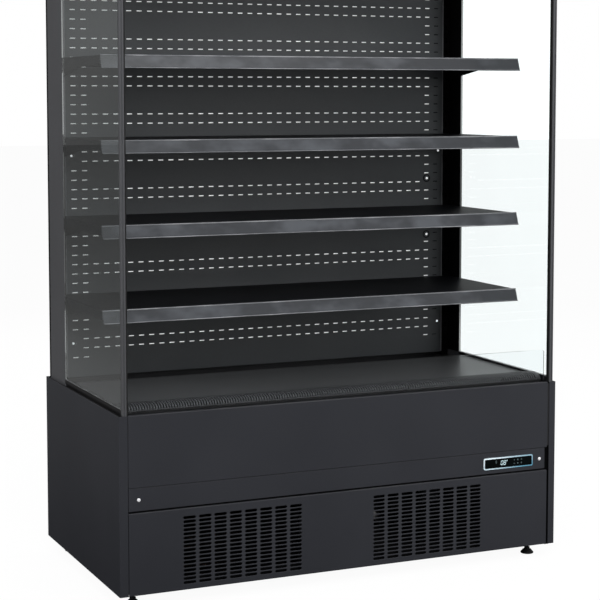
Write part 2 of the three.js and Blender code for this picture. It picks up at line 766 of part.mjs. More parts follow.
function deckPan() {
  const outer = box(-SHELF_HALF, SHELF_HALF, DECK_FRONT, DECK_BACK, STAND, DECK_TOP);
  const inside = box(
    -SHELF_HALF + SHEET,
    SHELF_HALF - SHEET,
    DECK_FRONT + SHEET,
    DECK_BACK - SHEET,
    0,
    DECK_TOP - SHEET,
  );
  return cut(outer, inside);
}

/** Section of the return grille: from its rear edge over the crest, down to the foot and back. */
function returnSection(inset, foot) {
  const crest = DECK_TOP + RETURN_CREST - inset;
  const front = RETURN_FRONT + inset;
  const rear = DECK_FRONT - SEAT - inset;
  const nose = RETURN_NOSE;
  return [
    [rear, DECK_TOP - inset],
    [RETURN_FRONT + RETURN_SHOULDER_Y, crest - RETURN_SHOULDER_DROP],
    [RETURN_FRONT + RETURN_CREST_Y, crest],
    [front + nose.x, crest - nose.drop],
    [front + nose.cornerX, crest - nose.cornerDrop],
    [front, crest - nose.footDrop],
    [front, foot],
    [rear, foot],
  ];
}

/** The curved grille that takes the air back into the tub. */
function returnGrille() {
  const outer = alongX(returnSection(0, STAND), -SHELF_HALF, SHELF_HALF);
  const inside = alongX(returnSection(SHEET, TUB_BOTTOM), -SHELF_HALF + SHEET, SHELF_HALF - SHEET);
  const count = Math.floor((2 * SHELF_HALF - RETURN_SLOT.pitch) / RETURN_SLOT.pitch);
  const slots = [];
  for (let i = 0; i < count; i++) {
    const x = (i - (count - 1) / 2) * RETURN_SLOT.pitch - RETURN_SLOT.width / 2;
    slots.push(box(x, x + RETURN_SLOT.width, RETURN_SLOT.front, RETURN_SLOT.back, STAND, DECK_TOP + 2 * RETURN_CREST));
  }
  return cut(outer, inside, ...slots);
}

function frontRiser() {
  const half = SHELF_HALF - RISER_END_GAP;
  const bottom = TUB_TOP - RISER.grooveDepth + SEAT;
  const { radius, top, y, thickness } = RISER;
  const shape = new THREE.Shape();
  shape.moveTo(-half, bottom);
  shape.lineTo(half, bottom);
  shape.lineTo(half, top - radius);
  shape.absarc(half - radius, top - radius, radius, 0, Math.PI / 2, false);
  shape.absarc(-half + radius, top - radius, radius, Math.PI / 2, Math.PI, false);
  return alongY(shape, y, y + thickness);
}

function liner() {
  const group = new THREE.Group();
  group.add(piece("back_panel", backPanel(), FINISH.linerPaint()));
  for (const [sideName, side] of SIDES) {
    group.add(piece(`shelf_upright_${sideName}`, shelfUpright(side), FINISH.blackPaint()));
  }
  group.add(piece("deck_pan", deckPan(), FINISH.linerPaint()));
  group.add(piece("return_grille", returnGrille(), FINISH.linerPaint()));
  group.add(piece("front_riser", frontRiser(), FINISH.glass()));
  return group;
}

// ---------------------------------------------------------------- shelves, about their own top surface

function shelfPlate() {
  const front = RAIL.topY + RAIL.thickness + SEAT;
  const back = LINER_FRONT - SHELF_REAR_GAP;
  const outer = box(-SHELF_HALF, SHELF_HALF, front, back, -SHELF_FLANGE, 0);
  const inside = box(
    -SHELF_HALF + SHEET,
    SHELF_HALF - SHEET,
    front + SHEET,
    back - SHEET,
    -2 * SHELF_FLANGE,
    -SHEET,
  );
  const notches = SIDES.map(([, side]) => {
    const [outerX, innerX] = [HOOK_X + HOOK.notch / 2, HOOK_X - HOOK.notch / 2];
    return sideBox(side, outerX, innerX, back - 3 * SHEET, LINER_FRONT, -3 * SHELF_FLANGE, -2 * SHEET);
  });
  return cut(outer, inside, ...notches);
}

/** The leaning price rail: two ridges with a label channel between them, and a leg that clips to the shelf. */
function priceRail() {
  const { rise, height, lean, thickness, ridge, recess, topY, leg } = RAIL;
  const slope = new THREE.Vector2(-lean, -height).normalize();
  const face = new THREE.Vector2(slope.y, -slope.x);
  const length = Math.hypot(lean, height);
  const onFace = (down, inward) => [
    topY + slope.x * down - face.x * inward,
    rise + slope.y * down - face.y * inward,
  ];
  const back = topY + thickness;
  const legFront = back - 0.8 * thickness;
  return alongX(
    [
      onFace(0, 0),
      onFace(ridge, 0),
      onFace(ridge, recess),
      onFace(length - ridge, recess),
      onFace(length - ridge, 0),
      onFace(length, 0),
      onFace(length, thickness),
      [legFront, -0.35 * leg],
      [legFront, -leg],
      [back, -leg],
      [back, rise],
    ],
    -SHELF_HALF,
    SHELF_HALF,
  );
}

/** A cantilever bracket: an upper hook that hangs in one slot and a lug that steadies it in the slot below. */
function shelfBracket() {
  const top = -SHEET - SEAT;
  const rear = LINER_FRONT - SEAT;
  const neckTop = -HOOK.top;
  const neckBottom = neckTop - HOOK.neck;
  const legFront = WEB_BACK + HOOK.behind;
  const legBack = legFront + HOOK.leg;
  const lugTop = neckBottom - HOOK.play - SLOT.pitch + (SLOT.height + LUG.height) / 2;
  const lugBack = LINER_FRONT + LUG.reach;
  const relief = LINER_FRONT - SHELF_REAR_GAP;
  const half = BRACKET.thickness / 2;
  return alongX(
    [
      [BRACKET.front, top],
      [relief - HOOK.top, top],
      [relief, neckTop],
      [legBack, neckTop],
      [legBack, neckBottom - HOOK.drop],
      [legFront, neckBottom - HOOK.drop],
      [legFront, neckBottom],
      [rear, neckBottom],
      [rear, lugTop],
      [lugBack, lugTop],
      [lugBack, lugTop - LUG.height],
      [rear, lugTop - LUG.height],
      [rear, -BRACKET.depth],
      [BRACKET.noseY, -BRACKET.noseDepth],
      [BRACKET.front, -BRACKET.noseDepth],
    ],
    -half,
    half,
  );
}

function shelf(number) {
  const group = new THREE.Group();
  group.position.z = FIRST_SHELF + (number - 1) * SHELF_PITCH;
  group.add(piece(`shelf_${number}_plate`, shelfPlate(), FINISH.shelfPaint()));
  group.add(piece(`shelf_${number}_price_rail`, priceRail(), FINISH.railPlastic()));
  for (const [sideName, side] of SIDES) {
    const bracket = piece(`shelf_${number}_bracket_${sideName}`, shelfBracket(), FINISH.blackPaint());
    bracket.position.x = side * HOOK_X;
    group.add(bracket);
  }
  return group;
}

// ---------------------------------------------------------------- fans

/** A fan about the Y axis: pitched blades round a hub that is bored for its shaft from the rear. */
function fan({ tip, hub, length }, shaft) {
  const boreStart = (1 - FAN_BORE) * length;
  const chord = (length - 2 * BLADE_THICKNESS) / Math.sin(BLADE_PITCH);
  let made = barAlongY(0, 0, hub, 0, length);
  for (let i = 0; i < BLADE_COUNT; i++) {
    const blade = new THREE.BoxGeometry(tip - 0.7 * hub, BLADE_THICKNESS, chord);
    blade.rotateX(BLADE_PITCH);
    blade.translate((tip + 0.7 * hub) / 2, length / 2, 0);
    blade.rotateY((2 * Math.PI * i) / BLADE_COUNT);
    made = made.add(solid(blade));
  }
  const sweep = barAlongY(0, 0, tip, -length, 2 * length, 24);
  const bore = barAlongY(0, 0, shaft + SHAFT_CLEARANCE, boreStart, 2 * length, 12);
  return cut(made.intersect(sweep), bore);
}

// ---------------------------------------------------------------- cooling unit in the tub

/** The bulkhead that carries both tub fans: openings, motors on struts, and shafts that reach into the hubs. */
function fanPlate() {
  const half = TUB_INSIDE - SEAT;
  const back = FAN_PLATE_Y + FAN_PLATE_THICKNESS;
  const bottom = TUB_FLOOR_TOP + SEAT;
  const top = DECK_TOP - SHEET - SEAT;
  const profile = [
    [FAN_PLATE_Y, bottom],
    [back, bottom],
    [back, top - FAN_PLATE_THICKNESS],
    [FAN_PLATE_Y + FAN_PLATE_FLANGE, top - FAN_PLATE_THICKNESS],
    [FAN_PLATE_Y + FAN_PLATE_FLANGE, top],
    [FAN_PLATE_Y, top],
  ];
  const openings = SIDES.map(([, side]) =>
    barAlongY(side * TUB_FAN.x, TUB_FAN.z, TUB_FAN.opening, 0, BASE_DEPTH, 24),
  );
  const plate = cut(alongX(profile, -half, half), ...openings);
  return joined(plate, ...SIDES.map(([, side]) => fanMotor(side * TUB_FAN.x)));
}

/** A tub fan's motor on its strut, with the studs that hold the strut to the plate. */
function fanMotor(x) {
  const strutHalf = TUB_MOTOR.strut / 2;
  const reach = TUB_FAN.opening + TUB_MOTOR.strut;
  const back = FAN_PLATE_Y + FAN_PLATE_THICKNESS;
  const motorBack = TUB_FAN_BACK - TUB_FAN.length - TUB_MOTOR.gap;
  const strut = box(
    x - reach,
    x + reach,
    motorBack - FAN_PLATE_THICKNESS,
    motorBack,
    TUB_FAN.z - strutHalf,
    TUB_FAN.z + strutHalf,
  );
  const studs = [-1, 1].map((end) => {
    const studX = x + end * (reach - strutHalf);
    return barAlongY(studX, TUB_FAN.z, strutHalf - 1, motorBack - FAN_PLATE_THICKNESS / 2, back - SEAT, 8);
  });
  const shaftBack = TUB_FAN_BACK - (1 - FAN_BORE) * TUB_FAN.length - SEAT;
  const shaft = barAlongY(x, TUB_FAN.z, TUB_MOTOR.shaft, motorBack - TUB_MOTOR.length, shaftBack, 12);
  const motor = barAlongY(x, TUB_FAN.z, TUB_MOTOR.radius, motorBack - TUB_MOTOR.length, motorBack + 1);
  return joined(strut, ...studs, motor, shaft);
}

/** The evaporator: a finned block between end plates that stand on the tub floor, with return bends. */
function evaporatorCoil() {
  const { length, depth, height, endPlate, endMargin, clear } = COIL;
  const back = COIL_BACK;
  const front = back - depth;
  const floor = TUB_FLOOR_TOP + SEAT;
  const half = length / 2 + endPlate / 2;
  let coil = box(-half, half, front, back, floor + clear, floor + clear + height);
  for (const x of [-length / 2 - endPlate, length / 2]) {
    const plate = box(x, x + endPlate, front - endMargin, back + endMargin, floor, floor + clear + height + endMargin);
    coil = joined(coil, plate);
  }
  const spacing = (back - front) / COIL_BENDS;
  for (let i = 0; i < COIL_BENDS; i++) {
    const y = front + (i + 0.5) * spacing;
    coil = joined(coil, returnBend(length / 2, y, floor + clear + height / 2));
  }
  return coil;
}

/** A half-round tube bend that leaves the plane X = x0 and comes back to it. */
function returnBend(x0, y, z) {
  const arc = new THREE.EllipseCurve(0, 0, BEND.radius, BEND.radius, -Math.PI / 2, Math.PI / 2, false);
  const path = new THREE.CurvePath();
  const points = arc.getPoints(6).map((p) => new THREE.Vector3(x0 + COIL.endPlate - SEAT + p.x, y + p.y, z));
  path.add(new THREE.CatmullRomCurve3(points));
  const circle = new THREE.Shape().absarc(0, 0, BEND.tube, 0, 2 * Math.PI, false);
  const options = { steps: 6, bevelEnabled: false, extrudePath: path.curves[0], curveSegments: 6 };
  return solid(new THREE.ExtrudeGeometry(circle, options));
}

function coolingUnit() {
  const group = new THREE.Group();
  group.add(piece("evaporator_fan_plate", fanPlate(), FINISH.galvanised()));
  group.add(piece("evaporator_coil", evaporatorCoil(), FINISH.aluminium()));
  for (const [sideName, side] of SIDES) {
    const blades = piece(`evaporator_fan_${sideName}`, fan(TUB_FAN, TUB_MOTOR.shaft), FINISH.blackPlastic());
    blades.rotation.z = Math.PI;
    blades.position.set(side * TUB_FAN.x, TUB_FAN_BACK, TUB_FAN.z);
    group.add(blades);
  }
  return group;
}

// ---------------------------------------------------------------- condensing unit in the base

function condenserCoil() {
  const { width, front, back, height } = CONDENSER;
  const bottom = PAN_TOP + SEAT;
  const half = width / 2 + CONDENSER_END / 2;
  const { y, z } = CONDENSER_INSET;
  const core = box(-half, half, front + y, back - y, bottom + z, bottom + height - z);
  const left = box(-width / 2 - CONDENSER_END, -width / 2, front, back, bottom, bottom + height);
  const right = box(width / 2, width / 2 + CONDENSER_END, front, back, bottom, bottom + height);
  return joined(core, left, right);
}

function fanShroud() {
  const { thickness, ring, ringWall, armGap } = SHROUD;
  const half = CONDENSER.width / 2 + CONDENSER_END;
  const bottom = PAN_TOP + SEAT;
  const y = CONDENSER.back + SEAT;
  const fanBack = y + CONDENSER_FAN.setBack + CONDENSER_FAN.length;
  const ringBack = fanBack + armGap + ringWall;
  let shroud = box(-half, half, y, y + thickness, bottom, bottom + CONDENSER.height);
  shroud = joined(shroud, barAlongY(0, SHROUD.fanZ, ring + ringWall, y + thickness / 2, ringBack, 24));
  shroud = cut(shroud, barAlongY(0, SHROUD.fanZ, ring, 0, 2 * ringBack, 24));
  const { arm, armDepth, radius, length, shaft } = CONDENSER_MOTOR;
  for (let i = 0; i < 3; i++) {
    const strut = new THREE.BoxGeometry(ring + ringWall / 2, armDepth, arm);
    strut.translate((ring + ringWall / 2) / 2, 0, 0);
    strut.rotateY(Math.PI / 2 + (2 * Math.PI * i) / 3);
    strut.translate(0, ringBack + armDepth / 2 - ringWall, SHROUD.fanZ);
    shroud = joined(shroud, solid(strut));
  }
  const motorFront = ringBack - ringWall;
  const motor = barAlongY(0, SHROUD.fanZ, radius, motorFront - 1, motorFront + length);
  const reach = fanBack - FAN_BORE * CONDENSER_FAN.length + SEAT;
  return joined(shroud, motor, barAlongY(0, SHROUD.fanZ, shaft, reach, motorFront + 1, 12));
}

/** A hermetic compressor on its foot plate, with four grommets and the terminal cover. */
function compressor() {
  const { radius, height, plate, plateDepth, grommet } = COMPRESSOR;
  const foot = PAN_TOP + SEAT;
  const plateTop = foot + grommet + PAN_THICKNESS;
  const dome = 0.22 * height;
  let made = turned(
    [
      [0, plateTop - 1],
      [0.8 * radius, plateTop - 1],
      [radius, plateTop + 0.5 * dome],
      [radius, plateTop + height - dome],
      [0.86 * radius, plateTop + height - 0.35 * dome],
      [0.45 * radius, plateTop + height],
      [0, plateTop + height],
    ],
    20,
  );
  made = joined(made, box(-plate / 2, plate / 2, -plateDepth / 2, plateDepth / 2, foot + grommet, plateTop));
  for (const x of [-1, 1]) {
    for (const y of [-1, 1]) {
      const stud = bar(grommet, foot, plateTop - 1, 10);
      made = joined(made, stud.translate(x * (plate / 2 - grommet), y * (plateDepth / 2 - grommet), 0));
    }
  }
  const { width, depth, height: capHeight } = COMPRESSOR_CAP;
  const capBottom = plateTop + 0.35 * height;
  return joined(made, box(-width / 2, width / 2, -radius - depth / 2, 0, capBottom, capBottom + capHeight));
}

function dripTray() {
  const { x0, x1, y0, y1, height, wall } = TRAY;
  const bottom = PAN_TOP + SEAT;
  const outer = box(x0, x1, y0, y1, bottom, bottom + height);
  return cut(outer, box(x0 + wall, x1 - wall, y0 + wall, y1 - wall, bottom + wall, bottom + 2 * height));
}

function cableGland() {
  const { radius, length, bore } = GLAND;
  const made = turned([
    [0, 0],
    [radius, 0],
    [radius, 0.45 * length],
    [0.72 * radius, 0.5 * length],
    [0.6 * radius, length],
    [0, length],
  ]);
  return cut(made, bar(bore, 0.3 * length, 2 * length, 12));
}

function condensingUnit() {
  const group = new THREE.Group();
  const heatExchanger = new THREE.Group();
  heatExchanger.position.x = CONDENSER.x;
  heatExchanger.add(piece("condenser_coil", condenserCoil(), FINISH.blackPaint()));
  heatExchanger.add(piece("condenser_fan_shroud", fanShroud(), FINISH.galvanised()));
  const blades = piece("condenser_fan", fan(CONDENSER_FAN, CONDENSER_MOTOR.shaft), FINISH.aluminium());
  blades.position.set(0, CONDENSER.back + SEAT + CONDENSER_FAN.setBack, SHROUD.fanZ);
  heatExchanger.add(blades);
  group.add(heatExchanger);
  const pump = piece("compressor", compressor(), FINISH.castBlack());
  pump.position.set(COMPRESSOR.x, COMPRESSOR.y, 0);
  group.add(pump);
  group.add(piece("drip_tray", dripTray(), FINISH.blackPlastic()));
  const { x0, x1, y0, y1, height } = ELECTRICS;
  const bottom = PAN_TOP + SEAT;
  group.add(piece("electrical_box", box(x0, x1, y0, y1, bottom, bottom + height), FINISH.galvanised()));
  const gland = piece("cable_gland", cableGland(), FINISH.blackPlastic());
  gland.rotation.x = -Math.PI / 2;
  gland.position.set((x0 + x1) / 2, y1 + SEAT, GLAND.z);
  group.add(gland);
  return group;
}

// ---------------------------------------------------------------- the whole cabinet

const cabinet = new THREE.Group();
cabinet.add(base(), upperBody(), liner(), coolingUnit(), condensingUnit());
for (let number = 1; number <= SHELF_COUNT; number++) cabinet.add(shelf(number));
cabinet.position.y = PROUD - (BASE_DEPTH + PROUD) / 2;

export default cabinet;
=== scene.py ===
"""Looks of an open multideck display fridge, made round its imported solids.

Lengths are millimetres: X runs across from the centre, Y runs back from the
front plane of the base and Z runs up from the floor.  A finished mesh is moved
into the shared frame, in metres, when it becomes a piece.
"""

import json
import logging
import math
from bisect import bisect_right
from dataclasses import dataclass
from enum import Enum
from typing import Any, Callable, Iterable, Mapping, Optional, Sequence

import bmesh
import bpy
from mathutils import Matrix, Vector

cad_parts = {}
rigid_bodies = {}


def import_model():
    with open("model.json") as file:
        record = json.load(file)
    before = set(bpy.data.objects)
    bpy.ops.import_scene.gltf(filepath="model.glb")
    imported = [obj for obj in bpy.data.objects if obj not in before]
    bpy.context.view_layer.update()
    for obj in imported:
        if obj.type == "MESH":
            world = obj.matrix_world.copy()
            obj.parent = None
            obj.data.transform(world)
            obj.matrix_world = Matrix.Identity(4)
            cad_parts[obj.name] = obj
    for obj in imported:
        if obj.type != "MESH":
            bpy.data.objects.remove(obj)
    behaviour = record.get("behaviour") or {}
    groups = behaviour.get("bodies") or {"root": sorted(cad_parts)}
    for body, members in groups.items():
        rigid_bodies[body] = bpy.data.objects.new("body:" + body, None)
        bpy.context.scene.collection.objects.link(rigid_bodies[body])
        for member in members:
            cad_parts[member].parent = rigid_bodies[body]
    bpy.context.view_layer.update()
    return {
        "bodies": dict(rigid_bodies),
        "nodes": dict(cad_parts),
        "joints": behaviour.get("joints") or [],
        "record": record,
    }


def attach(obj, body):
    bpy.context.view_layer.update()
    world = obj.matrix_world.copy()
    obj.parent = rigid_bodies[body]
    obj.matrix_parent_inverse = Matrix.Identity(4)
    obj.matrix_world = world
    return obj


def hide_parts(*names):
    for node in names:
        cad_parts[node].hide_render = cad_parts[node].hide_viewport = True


LOG = logging.getLogger("fridge")
MM = 0.001
FRONT_PLANE = -345.25  # the front plane's place in the shared frame
SHEET = 1.5  # thickness of painted sheet steel
SIDES = (("left", -1), ("right", 1))
WHITE = (1.0, 1.0, 1.0, 1.0)
SHARP = 1.0  # radians between two faces above which their edge is a corner

Point = tuple[float, float]
Place = tuple[float, float, float]
Outline = tuple[Point, ...]
Color = tuple[float, float, float]
Mesh = bmesh.types.BMesh
Node = bpy.types.Node
Socket = bpy.types.NodeSocket
INTO_FRAME = Matrix.Scale(MM, 4) @ Matrix.Translation((0.0, FRONT_PLANE, 0.0))


class Axis(Enum):
    """A direction of the cabinet."""

    X = 0
    Y = 1
    Z = 2

    def place(self, a: float, b: float, along: float) -> Place:
        """Returns the place of a flat point at a distance along this axis."""
        return {Axis.X: (along, a, b), Axis.Y: (a, along, b), Axis.Z: (a, b, along)}[self]

    def turn(self) -> Matrix:
        """Returns the turn that brings +Z onto this axis."""
        turns = {Axis.X: (math.pi / 2, "Y"), Axis.Y: (-math.pi / 2, "X"), Axis.Z: (0.0, "Z")}
        return Matrix.Rotation(turns[self][0], 4, turns[self][1])


class Body(Enum):
    """The moving bodies of the cabinet."""

    CABINET = "cabinet"
    DECK = "deck"
    AIR_RETURN = "air_return"
    RISER = "riser"
    VENT_PANEL = "vent_panel"
    CONDENSER_ROTOR = "condenser_rotor"
    TUB_ROTOR_LEFT = "tub_rotor_left"
    TUB_ROTOR_RIGHT = "tub_rotor_right"
    FOOT_1 = "foot_1"
    FOOT_2 = "foot_2"
    FOOT_3 = "foot_3"
    FOOT_4 = "foot_4"
    SHELF_1 = "shelf_1"
    SHELF_2 = "shelf_2"
    SHELF_3 = "shelf_3"
    SHELF_4 = "shelf_4"


class Slot(Enum):
    """The record's material slots."""

    BASE_PAINT = "base_paint"
    SHELL_PAINT = "shell_paint"
    BLACK_PAINT = "black_paint"
    LINER_PAINT = "liner_paint"
    SHELF_PAINT = "shelf_paint"
    INSULATION = "insulation"
    RAIL_PLASTIC = "rail_plastic"
    BLACK_PLASTIC = "black_plastic"
    GLASS = "glass"
    CLEAR_RISER = "clear_riser"
    LENS = "lens"
    BRIGHT_TRIM = "bright_trim"
    SCREW = "screw"
    ALUMINIUM = "aluminium"
    GALVANISED = "galvanised"
    CAST_BLACK = "cast_black"
    LAMP_COVER = "lamp_cover"


# ------------------------------------------------------------------ shapes


def verts_in(made: Iterable[Any]) -> list[bmesh.types.BMVert]:
    """Returns the vertices among an operator's results."""
    return [v for v in made if isinstance(v, bmesh.types.BMVert)]


def lies_across(edge: bmesh.types.BMEdge, axis: Axis) -> bool:
    """Returns whether an edge lies across an axis."""
    return abs(edge.verts[0].co[axis.value] - edge.verts[1].co[axis.value]) < 0.1


def show(thing: bpy.types.Object) -> bpy.types.Object:
    """Puts an object into the scene and returns it."""
    bpy.context.scene.collection.objects.link(thing)
    return thing


def round_edges(part: Mesh, geom: Sequence[Any], radius: float, segments: int = 2, affect: str = "EDGES") -> None:
    """Rounds edges or corners of a mesh.

    Args:
        part: Mesh to change.
        geom: Its edges or vertices.
        radius: Radius of the rounding.
        segments: Faces across it.
        affect: What is rounded, EDGES or VERTICES.
    """
    limits = {"clamp_overlap": True} if affect == "EDGES" else {}
    bmesh.ops.bevel(
        part, geom=geom, offset=radius, offset_type="OFFSET", segments=segments, profile=0.5,
        affect=affect, material=-1, **limits,
    )


class Shape:
    """A mesh in the making, in millimetres."""

    def __init__(self) -> None:
        """Starts an empty mesh."""
        self.mesh = bmesh.new()

    def take(self, part: Mesh, move: Optional[Matrix] = None) -> "Shape":
        """Adds another mesh to this one and frees it.

        Args:
            part: Mesh to add.
            move: Transform applied to it first.

        Returns:
            This shape.
        """
        if move is not None:
            part.transform(move)
        bmesh.ops.recalc_face_normals(part, faces=part.faces[:])
        carrier = bpy.data.meshes.new("carrier")
        part.to_mesh(carrier)
        part.free()
        self.mesh.from_mesh(carrier)
        bpy.data.meshes.remove(carrier)
        return self

    def block(
        self, x: Point, y: Point, z: Point, rounding: float = 0.0, segments: int = 2, opening: int = 0
    ) -> "Shape":
        """Adds a box with rounded edges.

        Args:
            x: Lower and upper X.
            y: Lower and upper Y.
            z: Lower and upper Z.
            rounding: Radius of the edges.
            segments: Faces across each rounded edge.
            opening: 1 leaves out the top, -1 the underside.

        Returns:
            This shape.
        """
        part = bmesh.new()
        bmesh.ops.create_cube(part, size=1.0)
        bmesh.ops.scale(part, vec=(x[1] - x[0], y[1] - y[0], z[1] - z[0]), verts=part.verts[:])
        middle = ((x[0] + x[1]) / 2, (y[0] + y[1]) / 2, (z[0] + z[1]) / 2)
        bmesh.ops.translate(part, vec=middle, verts=part.verts[:])
        if opening:
            gone = [f for f in part.faces if f.normal.z * opening > 0.5]
            bmesh.ops.delete(part, geom=gone, context="FACES_ONLY")
        if rounding:
            round_edges(part, [e for e in part.edges if len(e.link_faces) == 2], rounding, segments)
        return self.take(part)

    def bar(
        self, axis: Axis, outline: Sequence[Point], start: float, end: float,
        rounding: Optional[Mapping[int, float]] = None, rim: float = 0.0,
    ) -> "Shape":
        """Adds a bar of constant section.

        Args:
            axis: Direction of the bar.
            outline: Corners of the section.
            start: Where the bar starts on the axis.
            end: Where it ends.
            rounding: Radius by corner number.
            rim: Radius round both end faces.

        Returns:
            This shape.
        """
        part = bmesh.new()
        corners = [part.verts.new(axis.place(a, b, start)) for a, b in outline]
        part.faces.new(corners)
        radii = rounding or {}
        for radius in sorted(set(radii.values())):
            round_edges(part, [corners[i] for i, r in radii.items() if r == radius], radius, 3, "VERTICES")
        moved = verts_in(bmesh.ops.extrude_face_region(part, geom=part.faces[:])["geom"])
        bmesh.ops.translate(part, vec=axis.place(0.0, 0.0, end - start), verts=moved)
        if rim:
            sharp = [e for e in part.edges if e.calc_face_angle(0.0) > SHARP and lies_across(e, axis)]
            round_edges(part, sharp, rim)
        return self.take(part)

    def turned(self, axis: Axis, centre: Place, profile: Sequence[Point], sides: int = 32) -> "Shape":
        """Adds a turned solid.

        Args:
            axis: Direction of its axis.
            centre: Point on the axis where the profile's heights start.
            profile: Radius and height of each corner, from end to end.
            sides: Sides round the axis.

        Returns:
            This shape.
        """
        part = bmesh.new()
        points = [part.verts.new((r, 0.0, h)) for r, h in profile]
        lines = [part.edges.new(pair) for pair in zip(points, points[1:])]
        bmesh.ops.spin(
            part, geom=[*points, *lines], cent=(0.0, 0.0, 0.0), axis=(0.0, 0.0, 1.0), angle=math.tau,
            steps=sides, use_merge=True,
        )
        bmesh.ops.remove_doubles(part, verts=part.verts[:], dist=0.01)
        return self.take(part, Matrix.Translation(centre) @ axis.turn())

    def rod(self, start: Place, radius: float, length: float) -> "Shape":
        """Adds a round rod that runs along X from its start."""
        return self.turned(Axis.X, start, [(0.0, 0.0), (radius, 0.0), (radius, length), (0.0, length)], 10)

    def sheet(
        self, lines: Sequence[float], rows: Sequence[Point],
        holes: Mapping[tuple[int, int], tuple[float, float, float, float]], ends: int = 0,
        open_cells: Iterable[tuple[int, int]] = (), walls: float = 0.0,
    ) -> "Shape":
        """Adds a folded sheet with punched slots.

        Args:
            lines: X of the lines that part the sheet into columns.
            rows: Y and Z of the lines that run across it, along the fold.
            holes: X and Z limits of the slot in a cell, by column and row.
            ends: Points round each slot end, 0 for square ends.
            open_cells: Cells that are cut out whole.
            walls: Thickness given to the sheet, towards its back.

        Returns:
            This shape.
        """
        part = bmesh.new()
        across, up = len(lines) - 1, len(rows) - 1
        bmesh.ops.create_grid(part, x_segments=across, y_segments=up, size=1.0)
        cells: dict[tuple[int, int], bmesh.types.BMFace] = {}
        for face in part.faces:
            middle = face.calc_center_median()
            cells[(int((middle.x + 1.0) / 2.0 * across), int((middle.y + 1.0) / 2.0 * up))] = face
        for vert in part.verts:
            column, row = round((vert.co.x + 1.0) / 2.0 * across), round((vert.co.y + 1.0) / 2.0 * up)
            vert.co = (lines[column], *rows[row])
        punched = [cells[cell] for cell in holes]
        if punched:
            bmesh.ops.inset_individual(part, faces=punched, thickness=0.4)
        ends_of_slots = []
        for cell, (x0, x1, z0, z1) in holes.items():
            face = cells[cell]
            middle = face.calc_center_median()
            inset = (z1 - z0) / 2 if ends else 0.0
            for vert in face.verts:
                vert.co.x = x1 - inset if vert.co.x > middle.x else x0 + inset
                vert.co.z = z1 if vert.co.z > middle.z else z0
            if ends:
                ends_of_slots += [e for e in face.edges if abs(e.verts[0].co.x - e.verts[1].co.x) < 1e-6]
        bmesh.ops.delete(part, geom=punched + [cells[cell] for cell in open_cells], context="FACES")
        if ends_of_slots:
            made = bmesh.ops.subdivide_edges(part, edges=ends_of_slots, cuts=ends)["geom_inner"]
            heights = [row[1] for row in rows]
            for vert in verts_in(made):
                cell = (bisect_right(lines, vert.co.x) - 1, bisect_right(heights, vert.co.z) - 1)
                x0, x1, z0, z1 = holes[cell]
                radius = (z1 - z0) / 2
                angle = (vert.co.z - (z0 + z1) / 2) / radius * math.pi / 2
                away = radius * math.cos(angle)
                vert.co.x += away if vert.co.x > (x0 + x1) / 2 else -away
                vert.co.z = (z0 + z1) / 2 + radius * math.sin(angle)
        if walls:
            bmesh.ops.solidify(part, geom=part.faces[:], thickness=walls)
        return self.take(part)

    def face_out(self, half: float, depth: Point, height: float) -> "Shape":
        """Turns every face away from a flat core under the shape's top.

        Args:
            half: Half the core's width.
            depth: Y of the core's front and rear.
            height: Its height.

        Returns:
            This shape.
        """
        for face in self.mesh.faces:
            middle = face.calc_center_median()
            core = Vector((max(-half, min(half, middle.x)), max(depth[0], min(depth[1], middle.y)), height))
            if face.normal.dot(middle - core) < 0:
                face.normal_flip()
        return self


def span(side: int, near: float, far: float) -> Point:
    """Returns two distances from the middle as lower and upper X on one side."""
    return (near, far) if side > 0 else (-far, -near)


def mirrored(side: int, outline: Iterable[Point]) -> list[Point]:
    """Returns an outline drawn for the right side, on either side."""
    return [(side * a, b) for a, b in outline]


def arc(centre: Point, radius: float, start: float, end: float, steps: int = 4) -> list[Point]:
    """Returns the points of an arc; its angles are degrees."""
    angles = [math.radians(start + (end - start) * i / steps) for i in range(steps + 1)]
    return [(centre[0] + radius * math.cos(a), centre[1] + radius * math.sin(a)) for a in angles]


def rounded_rectangle(centre: Point, width: float, height: float, radius: float) -> list[Point]:
    """Gives the outline of a rectangle with round corners.

    Args:
        centre: Its centre.
        width: Its width.
        height: Its height.
        radius: Radius of its corners.

    Returns:
        The outline's points.
    """
    a, b = width / 2 - radius, height / 2 - radius
    points: list[Point] = []
    for sx, sy, start in ((1, -1, -90), (1, 1, 0), (-1, 1, 90), (-1, -1, 180)):
        points += arc((centre[0] + sx * a, centre[1] + sy * b), radius, start, start + 90, 5)
    return points


def channel(bottom: float, top: float, lower: float, upper: float) -> list[Point]:
    """Returns the section of a sheet channel that is open to the rear, with two flange depths."""
    inner = [(lower, bottom + SHEET), (SHEET, bottom + SHEET), (SHEET, top - SHEET), (upper, top - SHEET)]
    return [(0.0, bottom), (lower, bottom), *inner, (upper, top), (0.0, top)]


def cut_lines(half: float, start: float, pitch: float, cut: float, count: int) -> list[float]:
    """Gives the X of the lines round evenly spaced cuts in a sheet.

    Args:
        half: Half the sheet's width.
        start: Where the first cut starts.
        pitch: Distance from cut to cut.
        cut: Width of a cut.
        count: Number of cuts.

    Returns:
        The X of each line, from left to right.
    """
    return [-half, *[start + i * pitch + edge for i in range(count) for edge in (0.0, cut)], half]


# ------------------------------------------------------------------ shader helpers


